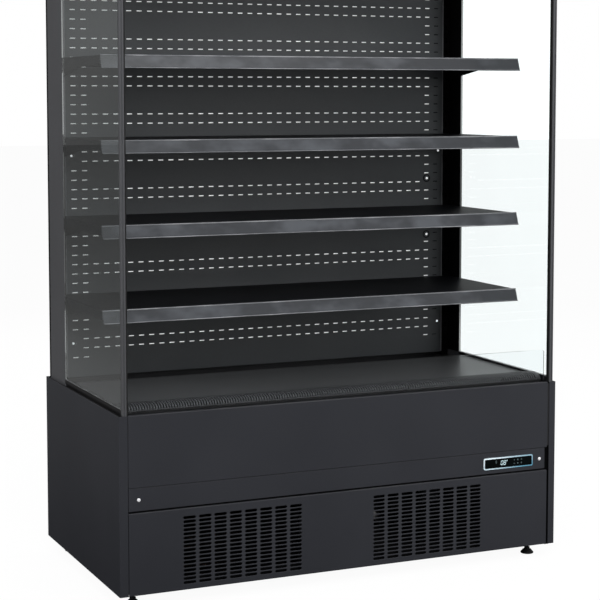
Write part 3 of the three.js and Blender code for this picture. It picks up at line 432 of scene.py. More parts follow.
class Nodes:
    """Places and joins the nodes of one material, group or world."""

    def __init__(self, tree: bpy.types.NodeTree) -> None:
        """Keeps the tree."""
        self.tree = tree

    @classmethod
    def emptied(cls, owner: Any) -> "Nodes":
        """Empties the nodes of a material or world.

        Args:
            owner: The material or world.

        Returns:
            Its nodes, none of them made yet.
        """
        owner.use_nodes = True
        owner.node_tree.nodes.clear()
        return cls(owner.node_tree)

    def add(self, kind: str, values: Optional[Mapping[Any, Any]] = None, **settings: Any) -> Node:
        """Adds a node.

        Args:
            kind: The node's type name, without its common start.
            values: Input values, or sockets that feed them, by input name or number.
            settings: Properties of the node.

        Returns:
            The node.
        """
        node = self.tree.nodes.new(f"ShaderNode{kind}")
        for name, value in settings.items():
            setattr(node, name, value)
        for name, value in (values or {}).items():
            if isinstance(value, Socket):
                self.tree.links.new(value, node.inputs[name])
            else:
                node.inputs[name].default_value = value
        return node

    def math(self, operation: str, *inputs: Any) -> Socket:
        """Returns the output of a Math node."""
        return self.add("Math", dict(enumerate(inputs)), operation=operation).outputs[0]

    def times(self, first: Any, second: Any) -> Socket:
        """Returns a product."""
        return self.math("MULTIPLY", first, second)

    def plus(self, first: Any, second: Any) -> Socket:
        """Returns a sum."""
        return self.math("ADD", first, second)

    def less(self, first: Any, second: Any) -> Socket:
        """Returns a difference."""
        return self.math("SUBTRACT", first, second)

    def grown(self, value: Any, factor: Any, more: Any) -> Socket:
        """Returns a value times a factor, plus some more."""
        return self.math("MULTIPLY_ADD", value, factor, more)

    def noise(self, vector: Any, scale: Any, detail: float = 2.0, roughness: float = 0.5) -> Socket:
        """Returns the value of a Noise Texture."""
        values = {"Vector": vector, "Scale": scale, "Detail": detail, "Roughness": roughness}
        return self.add("TexNoise", values).outputs["Fac"]

    def spread(self, value: Any, low: float, high: float, to_low: Any, to_high: Any) -> Socket:
        """Returns a value mapped from one range to another and kept inside it."""
        values = {0: value, 1: low, 2: high, 3: to_low, 4: to_high}
        return self.add("MapRange", values, interpolation_type="SMOOTHSTEP").outputs[0]

    def blend(self, factor: Any, first: Any, second: Any) -> Socket:
        """Returns the mix of two colours, each a socket or red, green and blue."""
        pair = [c if isinstance(c, Socket) else (*c, 1.0) for c in (first, second)]
        return self.add("Mix", {0: factor, 6: pair[0], 7: pair[1]}, data_type="RGBA").outputs[2]

    def place(self, scale: Place = (1.0, 1.0, 1.0), turn: Place = (0.0, 0.0, 0.0)) -> Socket:
        """Returns Object coordinates after a turn and a scale."""
        source = self.add("TexCoord").outputs["Object"]
        return self.add("Mapping", {"Vector": source, "Scale": scale, "Rotation": turn}).outputs[0]

    def bump(self, strength: float, distance: float, height: Any) -> Socket:
        """Returns the normal of a Bump node."""
        return self.add("Bump", {"Strength": strength, "Distance": distance, "Height": height}).outputs[0]

    def effect(self, effect: "Effect", **values: Any) -> Any:
        """Returns the outputs of a placed effect group."""
        return self.add("Group", values, node_tree=effect.group()).outputs

    def principled(self, color: Any, rough: Any, **values: Any) -> Node:
        """Returns a Principled shader; underscores in a value's name stand for spaces."""
        named = {name.replace("_", " "): value for name, value in values.items()}
        return self.add("BsdfPrincipled", {"Base Color": color, "Roughness": rough, **named})


def coat_grain(nodes: Nodes, vector: Socket, grain: Socket, cloud: Socket) -> dict[str, Socket]:
    """Makes the fine orange peel of a baked coat, with slow tone changes.

    Args:
        nodes: Nodes of the group.
        vector: Place on the surface.
        grain: How fine the peel is.
        cloud: How fine the tone changes are.

    Returns:
        The outputs by name.
    """
    peel = nodes.noise(vector, grain, 2.0, 0.55)
    clouds = nodes.noise(vector, cloud, 3.0, 0.6)
    fleck = nodes.noise(vector, nodes.times(grain, 0.37), 1.0, 0.4)
    tone = nodes.plus(nodes.times(clouds, 0.72), nodes.times(fleck, 0.28))
    sheen = nodes.plus(nodes.times(clouds, 0.6), nodes.times(peel, 0.4))
    return {
        "Tone": nodes.spread(tone, 0.25, 0.75, 0.0, 1.0),
        "Sheen": nodes.less(sheen, 0.5),
        "Height": nodes.plus(peel, nodes.times(fleck, 0.6)),
    }


def dust(nodes: Nodes, vector: Socket, amount: Socket, reach: Socket) -> dict[str, Socket]:
    """Makes a lighter colour on faces that look up and near the floor: dust, and where it is strong a painted sheen
    on upturned bends.

    Args:
        nodes: Nodes of the group.
        vector: Place on the surface.
        amount: Strength of the lightening.
        reach: Height up to which it gathers on upright faces.

    Returns:
        The outputs by name.
    """
    height = nodes.add("SeparateXYZ", {0: vector}).outputs[2]
    normal = nodes.add("SeparateXYZ", {0: nodes.add("NewGeometry").outputs["Normal"]}).outputs[2]
    lying = nodes.spread(normal, 0.35, 0.9, 0.0, 1.0)
    low = nodes.math("DIVIDE", nodes.less(reach, height), reach)
    low = nodes.times(nodes.math("MAXIMUM", low, 0.0), 0.55)
    patches = nodes.spread(nodes.noise(vector, 7.0, 4.0, 0.65), 0.35, 0.7, 0.15, 1.0)
    specks = nodes.spread(nodes.noise(vector, 420.0, 1.0, 0.5), 0.55, 0.75, 0.4, 1.0)
    mask = nodes.times(nodes.math("MAXIMUM", lying, low), nodes.times(patches, specks))
    return {"Mask": nodes.times(mask, amount)}


def drawn_metal(nodes: Nodes, vector: Socket, fine: Socket) -> dict[str, Socket]:
    """Makes the fine lines that rolling and brushing leave in metal.

    Args:
        nodes: Nodes of the group.
        vector: Place on the surface.
        fine: How fine the lines are.

    Returns:
        The outputs by name.
    """
    lines = nodes.noise(vector, fine, 4.0, 0.7)
    spangle = nodes.add("TexVoronoi", {"Vector": vector, "Scale": 22.0}).outputs["Color"]
    spangle = nodes.add("SeparateColor", {0: spangle}).outputs[0]
    return {"Tone": nodes.plus(nodes.times(lines, 0.6), nodes.times(spangle, 0.4)), "Height": lines}


def wipe_marks_and_reflections(nodes: Nodes, vector: Socket, size: Socket) -> dict[str, Socket]:
    """Makes faint slanted streaks and prints: wiping marks on glass and moulding, and soft patches of painted
    reflection on gloss.

    Args:
        nodes: Nodes of the group.
        vector: Place on the surface.
        size: How fine the streaks are.

    Returns:
        The outputs by name.
    """
    streaks = nodes.noise(vector, size, 3.0, 0.55)
    prints = nodes.noise(vector, nodes.times(size, 9.0), 2.0, 0.6)
    mask = nodes.spread(streaks, 0.42, 0.68, 0.0, 1.0)
    return {"Mask": mask, "Prints": nodes.spread(prints, 0.58, 0.72, 0.0, 1.0)}


class Effect(Enum):
    """Surface effects that several finishes share."""

    COAT_GRAIN = "coat grain"
    DUST_AND_SHEEN = "dust"
    DRAWN_METAL = "drawn metal"
    WIPE_MARKS_AND_REFLECTIONS = "wipe marks"

    def group(self) -> bpy.types.NodeTree:
        """Makes the effect's node group on first use.

        Returns:
            The group.
        """
        tree = bpy.data.node_groups.get(self.value)
        if tree is None:
            tree = bpy.data.node_groups.new(self.value, "ShaderNodeTree")
            maker, inputs = MAKERS[self]
            tree.interface.new_socket(name="Vector", in_out="INPUT", socket_type="NodeSocketVector")
            for name in inputs:
                tree.interface.new_socket(name=name, in_out="INPUT", socket_type="NodeSocketFloat")
            made = maker(Nodes(tree), *tree.nodes.new("NodeGroupInput").outputs[: len(inputs) + 1])
            for name in made:
                tree.interface.new_socket(name=name, in_out="OUTPUT", socket_type="NodeSocketFloat")
            result = tree.nodes.new("NodeGroupOutput")
            for name, socket in made.items():
                tree.links.new(socket, result.inputs[name])
        return tree


MAKERS: dict[Effect, tuple[Callable[..., dict[str, Socket]], tuple[str, ...]]] = {
    Effect.COAT_GRAIN: (coat_grain, ("Grain", "Cloud")),
    Effect.DUST_AND_SHEEN: (dust, ("Amount", "Reach")),
    Effect.DRAWN_METAL: (drawn_metal, ("Lines",)),
    Effect.WIPE_MARKS_AND_REFLECTIONS: (wipe_marks_and_reflections, ("Size",)),
}


# ------------------------------------------------------------------ finishes


@dataclass(frozen=True)
class Finish:
    """A finish that is made into a material once."""

    name: str
    slot: Slot

    def material(self) -> bpy.types.Material:
        """Makes the finish's material on first use.

        Returns:
            The material.
        """
        made = bpy.data.materials.get(self.name)
        if made is None:
            made = bpy.data.materials.new(self.name)
            nodes = Nodes.emptied(made)
            nodes.add("OutputMaterial", {"Surface": self.dress(nodes).outputs[0]})
        return made

    def dress(self, nodes: Nodes) -> Node:
        """Returns the shader of this finish; each kind of finish makes its own."""
        raise NotImplementedError


@dataclass(frozen=True)
class Coat(Finish):
    """Baked powder coat or enamel on steel."""

    dark: Color
    light: Color
    roughness: float = 0.45
    relief: float = 0.12
    grain: float = 900.0
    specular: float = 0.5
    dust: float = 0.12
    reach: float = 0.25
    dust_and_sheen_color: Color = (0.11, 0.11, 0.108)

    def dress(self, nodes: Nodes) -> Node:
        """Makes the coat's shader.

        Args:
            nodes: Nodes of the material.

        Returns:
            The shader node.
        """
        place = nodes.place()
        grain = nodes.effect(Effect.COAT_GRAIN, Vector=place, Grain=self.grain, Cloud=2.4)
        mask = nodes.effect(Effect.DUST_AND_SHEEN, Vector=place, Amount=self.dust, Reach=self.reach)["Mask"]
        color = nodes.blend(mask, nodes.blend(grain["Tone"], self.dark, self.light), self.dust_and_sheen_color)
        rough = nodes.grown(mask, 0.3, nodes.grown(grain["Sheen"], 0.16, self.roughness))
        bump = nodes.bump(self.relief, 0.0006, grain["Height"])
        return nodes.principled(color, rough, Specular_IOR_Level=self.specular, Normal=bump)


@dataclass(frozen=True)
class Moulding(Finish):
    """Moulded plastic or rubber with a fine texture."""

    color: Color = (0.012, 0.012, 0.013)
    worn: Color = (0.03, 0.03, 0.031)
    roughness: float = 0.5
    texture: float = 1400.0
    relief: float = 0.15

    def dress(self, nodes: Nodes) -> Node:
        """Makes the moulding's shader.

        Args:
            nodes: Nodes of the material.

        Returns:
            The shader node.
        """
        place = nodes.place()
        grain = nodes.effect(Effect.COAT_GRAIN, Vector=place, Grain=self.texture, Cloud=9.0)
        prints = nodes.effect(Effect.WIPE_MARKS_AND_REFLECTIONS, Vector=place, Size=12.0)["Prints"]
        color = nodes.blend(nodes.times(prints, grain["Tone"]), self.color, self.worn)
        rough = nodes.grown(grain["Sheen"], 0.22, self.roughness)
        return nodes.principled(color, rough, Normal=nodes.bump(self.relief, 0.0004, grain["Height"]))


@dataclass(frozen=True)
class Metal(Finish):
    """Bare metal with drawn lines and a little tarnish."""

    color: Color
    tarnish: Color
    roughness: float = 0.35
    stretch: Place = (0.06, 1.0, 1.0)
    lines: float = 260.0
    metallic: float = 1.0
    dust_and_sheen_color: Color = (0.16, 0.155, 0.145)

    def dress(self, nodes: Nodes) -> Node:
        """Makes the metal's shader.

        Args:
            nodes: Nodes of the material.

        Returns:
            The shader node.
        """
        drawn = nodes.effect(Effect.DRAWN_METAL, Vector=nodes.place(self.stretch), Lines=self.lines)
        mask = nodes.effect(Effect.DUST_AND_SHEEN, Vector=nodes.place(), Amount=0.35, Reach=0.2)["Mask"]
        color = nodes.blend(mask, nodes.blend(drawn["Tone"], self.tarnish, self.color), self.dust_and_sheen_color)
        rough = nodes.grown(drawn["Tone"], 0.18, self.roughness)
        bump = nodes.bump(0.12, 0.0004, drawn["Height"])
        return nodes.principled(color, rough, Metallic=self.metallic, Normal=bump)


@dataclass(frozen=True)
class Pane(Finish):
    """Clear glass or acrylic with faint wiping marks."""

    tint: Color = (0.94, 0.988, 0.988)
    ior: float = 1.45
    roughness: float = 0.0
    shadow: float = 0.12

    def dress(self, nodes: Nodes) -> Node:
        """Makes the pane's shader.

        Args:
            nodes: Nodes of the material.

        Returns:
            The shader node.
        """
        slanted = nodes.place((1.0, 1.0, 0.25), (0.5, 0.0, 0.0))
        marks = nodes.effect(Effect.WIPE_MARKS_AND_REFLECTIONS, Vector=slanted, Size=3.0)
        color = nodes.blend(marks["Mask"], self.tint, tuple(min(1.0, c + 0.012) for c in self.tint))
        rough = nodes.grown(marks["Prints"], 0.02, self.roughness)
        shadow = nodes.add("LightPath").outputs["Is Shadow Ray"]
        alpha = nodes.less(1.0, nodes.times(shadow, 1.0 - self.shadow))
        return nodes.principled(color, rough, IOR=self.ior, Transmission_Weight=1.0, Alpha=alpha)


@dataclass(frozen=True)
class Gloss(Finish):
    """Smooth gloss plastic with slanted soft patches of painted reflection."""

    color: Color
    reflection_patch: Color
    roughness: float = 0.16
    reflection_patch_size: float = 3.2
    coat: float = 0.4
    glow: float = 0.0
    specular: float = 0.5

    def dress(self, nodes: Nodes) -> Node:
        """Makes the gloss shader.

        Args:
            nodes: Nodes of the material.

        Returns:
            The shader node.
        """
        slanted = nodes.place((1.0, 1.0, 1.6), (0.0, 0.6, 0.0))
        marks = nodes.effect(Effect.WIPE_MARKS_AND_REFLECTIONS, Vector=slanted, Size=self.reflection_patch_size)
        # The slanted marks lighten the colour in soft patches: painted reflections.
        color = nodes.blend(marks["Mask"], self.color, self.reflection_patch)
        rough = nodes.grown(marks["Prints"], 0.12, self.roughness)
        light = {"Emission_Color": color, "Emission_Strength": self.glow} if self.glow else {}
        return nodes.principled(
            color, rough, Specular_IOR_Level=self.specular, Coat_Weight=self.coat, Coat_Roughness=0.08, **light
        )


@dataclass(frozen=True)
class HighlightTrim(Finish):
    """Plated trim whose colour fades from a painted white highlight to painted blue shade across its width and
    towards its bottom, with a faint emission.
    """

    # near is the painted highlight's colour and far the painted shade's colour.
    near: Color = (0.8, 0.9, 0.95)
    far: Color = (0.1, 0.26, 0.36)
    across: Point = (0.425, 0.59)  # X in metres where the fade starts and ends
    down: Point = (0.296, 0.284)  # Z in metres where it starts and ends

    def dress(self, nodes: Nodes) -> Node:
        """Makes the trim's shader.

        Args:
            nodes: Nodes of the material.

        Returns:
            The shader node.
        """
        place = nodes.place()
        parts = nodes.add("SeparateXYZ", {0: place}).outputs
        # The fade across and downwards is a painted highlight turning to painted shade; the faint emission adds to
        # the highlight.
        across = nodes.spread(parts[0], *self.across, 0.0, 0.75)
        low = nodes.spread(parts[2], *self.down, 0.0, 0.3)
        cloud = nodes.times(nodes.noise(place, 90.0, 2.0), 0.12)
        color = nodes.blend(nodes.plus(nodes.plus(across, low), cloud), self.near, self.far)
        rough = nodes.grown(cloud, 0.5, 0.2)
        return nodes.principled(color, rough, Emission_Color=color, Emission_Strength=0.08)


# A dust of 0.6 with a reach of 0.01 lightens only faces that look up, such as the panels' top bends: mostly a painted
# highlight.
BASE_COAT = Coat(
    "base coat", Slot.BASE_PAINT, (0.0202, 0.0212, 0.0258), (0.0258, 0.027, 0.0322), 0.52,
    specular=0.35, dust=0.6, reach=0.01,
)
SHELL_COAT = Coat("shell coat", Slot.SHELL_PAINT, (0.047, 0.048, 0.052), (0.058, 0.059, 0.064), dust=0.05)
BLACK_COAT = Coat(
    "black coat", Slot.BLACK_PAINT, (0.0015, 0.0015, 0.0018), (0.003, 0.003, 0.0034), 0.6, specular=0.12, dust=0.02
)
LINER_COAT = Coat("liner coat", Slot.LINER_PAINT, (0.06, 0.0645, 0.069), (0.078, 0.0825, 0.0875), 0.36, dust=0.04)
DECK_COAT = Coat("deck coat", Slot.LINER_PAINT, (0.043, 0.044, 0.046), (0.053, 0.054, 0.057), 0.34, dust=0.05)
RETURN_COAT = Coat(
    "return coat", Slot.LINER_PAINT, (0.045, 0.0465, 0.0495), (0.057, 0.059, 0.063), 0.42, specular=0.35, dust=0.04
)
# Light coat of the back panel's edge beads: a painted highlight on the panel's edges.
EDGE_HIGHLIGHT_COAT = Coat("panel edge painted highlight", Slot.LINER_PAINT, (0.16, 0.165, 0.175), (0.2, 0.205, 0.215), 0.4, dust=0.02)
SHELF_COAT = Coat(
    "shelf coat", Slot.SHELF_PAINT, (0.0035, 0.0038, 0.0048), (0.0055, 0.0058, 0.007), 0.42,
    specular=0.03, dust=0.015,
)
SILL_COAT = Coat(
    "sill coat", Slot.SHELL_PAINT, (0.004, 0.004, 0.0045), (0.007, 0.007, 0.0075), 0.4, specular=0.3, dust=0.03
)
SKIN = Coat("body skin", Slot.INSULATION, (0.012, 0.0122, 0.0135), (0.018, 0.0182, 0.02), 0.55, dust=0.06)
ENAMEL = Coat("black enamel", Slot.CAST_BLACK, (0.008, 0.008, 0.009), (0.014, 0.014, 0.015), 0.25, 0.2, 500.0)
BLACK_MOULDING = Moulding("black moulding", Slot.BLACK_PLASTIC)
RUBBER = Moulding("rubber", Slot.BLACK_PLASTIC, (0.006, 0.006, 0.006), (0.02, 0.02, 0.02), 0.7)
PACKING = Moulding("pane packing", Slot.BLACK_PLASTIC, (0.16, 0.165, 0.17), (0.25, 0.255, 0.26))
TRAY_PLASTIC = Moulding("tray plastic", Slot.BLACK_PLASTIC, (0.02, 0.02, 0.021), (0.05, 0.05, 0.05), 0.42)
LAMP_PLASTIC = Moulding(
    "frosted lamp cover", Slot.LAMP_COVER, (0.78, 0.8, 0.8), (0.7, 0.72, 0.72), 0.35, 700.0, 0.05
)
# The duct lining glows though it is no lamp: painted light.
GLOWING_LINING = Gloss("white duct lining with painted glow", Slot.LINER_PAINT, (0.66, 0.67, 0.67), (0.86, 0.87, 0.87), 0.5, 6.0, 0.0, 0.7)
# The label rail's lighter slanted patches are painted reflections.
RAIL = Gloss("label rail", Slot.RAIL_PLASTIC, (0.027, 0.0295, 0.034), (0.062, 0.067, 0.076), 0.14, 6.5, 0.7)
# Light beads along the label rail's ridges are painted highlight lines.
RIDGE_HIGHLIGHT_BEAD = Gloss("rail ridge painted highlight", Slot.RAIL_PLASTIC, (0.13, 0.135, 0.145), (0.26, 0.265, 0.28), 0.2, 9.0)
PAINTED_BEZEL = HighlightTrim("bright bezel", Slot.BRIGHT_TRIM)
LENS = Gloss(
    "black lens", Slot.LENS, (0.001, 0.0015, 0.0014), (0.0016, 0.0032, 0.0036), 0.1, 8.0, 0.0, specular=0.12
)
FIGURES = Gloss("lit figures", Slot.LENS, (0.5, 0.66, 0.7), (0.62, 0.78, 0.8), 0.4, 30.0, 0.0, 0.8)
DIM_FIGURES = Gloss("dim figures", Slot.LENS, (0.05, 0.07, 0.075), (0.09, 0.12, 0.13), 0.4, 30.0, 0.0, 0.8)
# The back panel's screws glow though they are no lamp: a painted highlight.
GLOWING_SCREW = Gloss("screw with painted glow", Slot.SCREW, (0.8, 0.81, 0.83), (0.92, 0.92, 0.94), 0.25, 40.0, 0.3, 0.8)
SCREW_METAL = Metal(
    "screw metal", Slot.SCREW, (0.92, 0.92, 0.94), (0.82, 0.82, 0.84), 0.3, (1.0, 1.0, 1.0), 700.0, 0.25
)
GALVANISED = Metal("galvanised sheet", Slot.GALVANISED, (0.5, 0.51, 0.53), (0.43, 0.44, 0.46), 0.52)
FIN_METAL = Metal("fin metal", Slot.ALUMINIUM, (0.75, 0.76, 0.77), (0.5, 0.51, 0.52), 0.3, (1.0, 1.0, 0.05))
COPPER = Metal("copper tube", Slot.ALUMINIUM, (0.5, 0.25, 0.16), (0.28, 0.14, 0.09), 0.4, (1.0, 1.0, 1.0), 120.0)
PANE = Pane("end pane", Slot.GLASS)
ACRYLIC = Pane("clear acrylic", Slot.CLEAR_RISER, (0.95, 0.97, 0.975), 1.18, 0.0, 0.1)


# ------------------------------------------------------------------ pieces


@dataclass
class Assembly:
    """Common ways in which a sub-assembly's pieces are finished and placed."""

    frame: dict[str, Any]

    def add(
        self, name: str, shape: Shape, finish: Finish, body: Body = Body.CABINET,
        replaces: Sequence[str] = (), smooth: float = 40.0, thickness: float = 0.0,
    ) -> None:
        """Makes a piece of a finished shape.

        Args:
            name: Name of the piece.
            shape: Its shape, which is used up.
            finish: Its finish.
            body: Body that it moves with.
            replaces: CAD nodes that it stands for.
            smooth: Angle in degrees above which an edge stays sharp.
            thickness: Wall given to a thin sheet, towards its back.
        """
        shape.mesh.transform(INTO_FRAME)
        mesh = bpy.data.meshes.new(name)
        shape.mesh.to_mesh(mesh)
        shape.mesh.free()
        mesh.polygons.foreach_set("use_smooth", [True] * len(mesh.polygons))
        mesh.set_sharp_from_angle(angle=math.radians(smooth))
        mesh.materials.append(finish.material())
        piece = show(bpy.data.objects.new(name, mesh))
        if thickness:
            wall = piece.modifiers.new("wall", "SOLIDIFY")
            wall.thickness, wall.offset, wall.use_even_offset = thickness * MM, -1.0, True
        piece.modifiers.new("even faces", "WEIGHTED_NORMAL").keep_sharp = True
        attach(piece, body.value)
        if replaces:
            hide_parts(*replaces)
        LOG.info("%s: %d faces on %s", name, len(mesh.polygons), body.value)

    def dress_node(self, node: str, finish: Finish) -> None:
        """Gives a CAD node its finish.

        Args:
            node: Name of the node.
            finish: The finish.
        """
        shown = self.frame["nodes"][node]
        shown.data.materials.clear()
        shown.data.materials.append(finish.material())
        LOG.info("%s: dressed in %s", node, finish.name)

    def pipe(self, name: str, points: Sequence[Place], radius: float, finish: Finish) -> None:
        """Makes a bent tube of the cabinet.

        Args:
            name: Name of the piece.
            points: Places that the tube passes.
            radius: Its outer radius.
            finish: Its finish.
        """
        curve = bpy.data.curves.new(name, "CURVE")
        curve.dimensions = "3D"
        curve.bevel_depth, curve.bevel_resolution, curve.resolution_u = radius, 3, 6
        curve.use_fill_caps = True
        spline = curve.splines.new("BEZIER")
        spline.bezier_points.add(len(points) - 1)
        for knot, point in zip(spline.bezier_points, points):
            knot.co = point
            knot.handle_left_type = knot.handle_right_type = "AUTO"
        carrier = show(bpy.data.objects.new(name + "_carrier", curve))
        bpy.context.view_layer.update()
        made = bpy.data.meshes.new_from_object(carrier.evaluated_get(bpy.context.evaluated_depsgraph_get()))
        shape = Shape()
        shape.mesh.from_mesh(made)
        bpy.data.objects.remove(carrier)
        bpy.data.curves.remove(curve)
        bpy.data.meshes.remove(made)
        self.add(name, shape, finish)


@dataclass
class Base(Assembly):
    """The base: side panels, front panels, controller, feet and frame."""

    half: float = 665.0
    depth: float = 693.0
    floor_gap: float = 38.0
    top: float = 516.7
    front_returns: Point = (24.0, 20.6)
    rear_return: float = 20.0
    panel_x: Point = (-639.5, 637.6)
    strip_right: float = 629.5
    fascia_bottom: float = 325.5
    fascia_flange: float = 10.0
    strip_z: Point = (263.0, 324.3)
    grille_top: float = 257.8
    flange: float = 11.5
    vent_starts: Point = (-488.6, 73.2)
    vent_slot: Point = (35.6, 7.9)
    vent_pitch: Point = (44.0, 10.95)
    vent_bottom: float = 53.8
    vent_columns: int = 8
    vent_rows: int = 17
    controller: Point = (506.3, 293.0)
    bezel_front: float = -2.5
    lens_y: Point = (-2.2, -1.3)
    figure_y: Point = (-2.32, -2.2)
    bezel: Place = (164.0, 34.0, 6.0)  # width, height and corner radius
    lens: Place = (156.2, 26.2, 3.0)
    lens_shift: Point = (0.9, -0.5)
    housing_half: Point = (75.0, 13.0)
    housing_y: Point = (1.6, 55.0)
    gap_block_y: Point = (8.0, 11.7)
    gap_blocks: tuple[tuple[Point, Point], ...] = (
        ((-640.7, -639.8), (34.9, 515.0)),  # left
        ((637.9, 652.0), (34.9, 515.0)),  # right
        ((629.9, 637.4), (258.0, 324.0)),  # beside the strip
        ((-640.7, 640.7), (258.1, 262.7)),  # under it
        ((-640.7, 640.7), (324.4, 325.4)),  # over it
    )
    screw_x: float = 612.0
    screw_front: float = -2.5
    screw: Outline = (
        (0.0, 1.3), (1.5, 1.3), (1.7, 0.15), (2.0, 0.0), (3.4, 0.35), (4.5, 1.1), (5.0, 2.2), (0.0, 2.2),
    )
    digits_x: Point = (-21.0, -11.5)  # this and the next places run from the controller's centre
    degree: Point = (-4.2, 5.6)
    arrows: Point = (20.0, 5.2)
    dots: tuple[Place, ...] = (  # across, up and size
        (32.0, -5.2, 1.2), (32.0, 5.2, 1.2), (44.0, -5.2, 1.2), (44.0, 5.2, 1.2),
        (-40.0, 1.6, 1.3), (-40.0, 5.6, 1.3),
    )
    digit_half: Point = (3.0, 6.0)
    digit_slant: float = 1.1
    lying_bar: Place = (2.2, 0.6, 0.0)  # half its width, half its height and its lean
    standing_bar: Place = (0.6, 2.4, 0.5)
    arrow_size: Point = (1.8, 1.3)
    figure_ring: Outline = ((1.0, 0.0), (1.7, 0.0), (1.7, 0.12), (1.0, 0.12), (1.0, 0.0))
    foot_x: float = 611.0
    foot_y: Point = (60.0, 633.0)
    foot: Outline = (
        (0.0, 0.0), (17.6, 0.0), (18.8, 0.8), (19.0, 2.6), (18.4, 4.2), (16.0, 6.6), (13.6, 9.2),
        (12.6, 11.0), (5.2, 11.0), (5.0, 12.0),
    )
    thread: tuple[Point, Point] = ((4.6, 13.0), (5.0, 15.0))  # root and crest of its first turn
    thread_turns: int = 12
    thread_pitch: float = 4.0
    stud_end: Outline = ((4.4, 63.6), (0.0, 63.8))
    lock_nut: Place = (9.2, 12.0, 18.0)  # radius, underside and top

    def build(self) -> None:
        """Makes every piece of the base."""
        self.side_panels()
        self.front_panels()
        self.grille_panel()
        self.gap_shade()
        self.display()
        self.screws()
        self.feet()
        self.dress_node("base_frame", BLACK_COAT)
        self.dress_node("insulated_tub", SKIN)

    def side_panels(self) -> None:
        """Makes the folded side panels."""
        outer, back = self.half, self.depth
        rear = outer - self.rear_return
        for (name, side), width in zip(SIDES, self.front_returns):
            front = outer - width
            outline = [(outer, 0.0), (front, 0.0), (front, SHEET), (outer - SHEET, SHEET)]
            outline += [(outer - SHEET, back - SHEET), (rear, back - SHEET), (rear, back), (outer, back)]
            bends = {0: 2.0, 7: 2.0, 3: 0.6, 4: 0.6}
            shape = Shape().bar(Axis.Z, mirrored(side, outline), self.floor_gap, self.top, bends)
            self.add(f"side_panel_{name}", shape, BASE_COAT, replaces=[f"base_side_{name}"])

    def front_panels(self) -> None:
        """Makes the fascia and the control strip."""
        outline = channel(self.fascia_bottom, self.top, self.fascia_flange, self.fascia_flange)
        shape = Shape().bar(Axis.X, outline, *self.panel_x, {0: 0.6, 7: 2.2, 3: 0.5, 4: 0.5})
        self.add("fascia", shape, BASE_COAT, replaces=["upper_fascia"])
        outline = channel(*self.strip_z, self.flange, self.flange)
        shape = Shape().bar(Axis.X, outline, self.panel_x[0], self.strip_right, {0: 1.6, 7: 0.6, 3: 0.5, 4: 0.5})
        self.add("strip", shape, BASE_COAT, replaces=["control_strip"])

    def gap_shade(self) -> None:
        """Makes black blocks in the gaps round the front panels: painted shade in those gaps."""
        shape = Shape()
        for x, z in self.gap_blocks:
            shape.block(x, self.gap_block_y, z, 0.2, 1)
        self.add("gap_shade", shape, BLACK_COAT)

    def grille_panel(self) -> None:
        """Makes the lower panel with its punched obround slots."""
        width, height = self.vent_slot
        step_x, step_z = self.vent_pitch
        gap_x, gap_z = (step_x - width) / 2, (step_z - height) / 2
        lines = [self.panel_x[0]]
        slots_x: dict[int, Point] = {}
        for start in self.vent_starts:
            lines.append(start - gap_x)
            for column in range(self.vent_columns):
                x = start + column * step_x
                slots_x[len(lines) - 1] = (x, x + width)
                lines.append(x + width + gap_x)
        lines.append(self.panel_x[1])
        bend, lip = 2.2, 6.0
        rows = [(self.flange, self.floor_gap), (lip, self.floor_gap)]
        rows += [*arc((bend, self.floor_gap + bend), bend, 270, 180), (0.0, self.vent_bottom - gap_z)]
        slots_z: dict[int, Point] = {}
        for row in range(self.vent_rows):
            z = self.vent_bottom + row * step_z
            slots_z[len(rows) - 1] = (z, z + height)
            rows.append((0.0, z + height + gap_z))
        rows += arc((bend, self.grille_top - bend), bend, 180, 90)
        rows += [(lip, self.grille_top), (self.flange, self.grille_top)]
        holes = {(i, j): (*x, *z) for i, x in slots_x.items() for j, z in slots_z.items()}
        shape = Shape().sheet(lines, rows, holes, ends=3)
        self.add("vent_grille", shape, BASE_COAT, Body.VENT_PANEL, ["grille_panel"], smooth=50.0, thickness=1.0)

    def display(self) -> None:
        """Makes the controller's bezel, lens and lit figures."""
        x, z = self.controller
        front_y, rim, lens_shift = self.bezel_front, 3.6, self.lens_shift
        part = bmesh.new()
        outline = rounded_rectangle((x, z), *self.bezel)
        part.faces.new([part.verts.new((a, front_y, b)) for a, b in outline])
        front = part.faces[:]
        bmesh.ops.inset_region(part, faces=front, thickness=rim)
        sunk = verts_in(bmesh.ops.extrude_face_region(part, geom=front)["geom"])
        bmesh.ops.translate(part, vec=(lens_shift[0], 1.2, lens_shift[1]), verts=sunk)
        bmesh.ops.translate(part, vec=(lens_shift[0], 0.0, lens_shift[1]), verts=front[0].verts[:])
        bmesh.ops.delete(part, geom=front, context="FACES")
        made = bmesh.ops.extrude_edge_only(part, edges=[e for e in part.edges if e.is_boundary])["geom"]
        bmesh.ops.translate(part, vec=(0.0, 2.2, 0.0), verts=verts_in(made))
        bmesh.ops.contextual_create(part, geom=[e for e in part.edges if e.is_boundary])
        corner = [e for e in part.edges if all(abs(v.co.y - front_y) < 0.01 for v in e.verts)]
        corner = [e for e in corner if len(e.link_faces) == 2 and e.calc_face_angle(0.0) > SHARP]
        round_edges(part, corner, 0.7, 3)
        wide, tall = self.housing_half
        shape = Shape().take(part).block((x - wide, x + wide), self.housing_y, (z - tall, z + tall), 1.5)
        # The bezel's fade from white to blue is a painted highlight.
        self.add("controller_bezel", shape, PAINTED_BEZEL, replaces=["controller_housing"])
        outline = rounded_rectangle((x + lens_shift[0], z + lens_shift[1]), *self.lens)
        self.add("touch_lens", Shape().bar(Axis.Y, outline, *self.lens_y), LENS, replaces=["controller_lens"])
        self.figures(x, z)

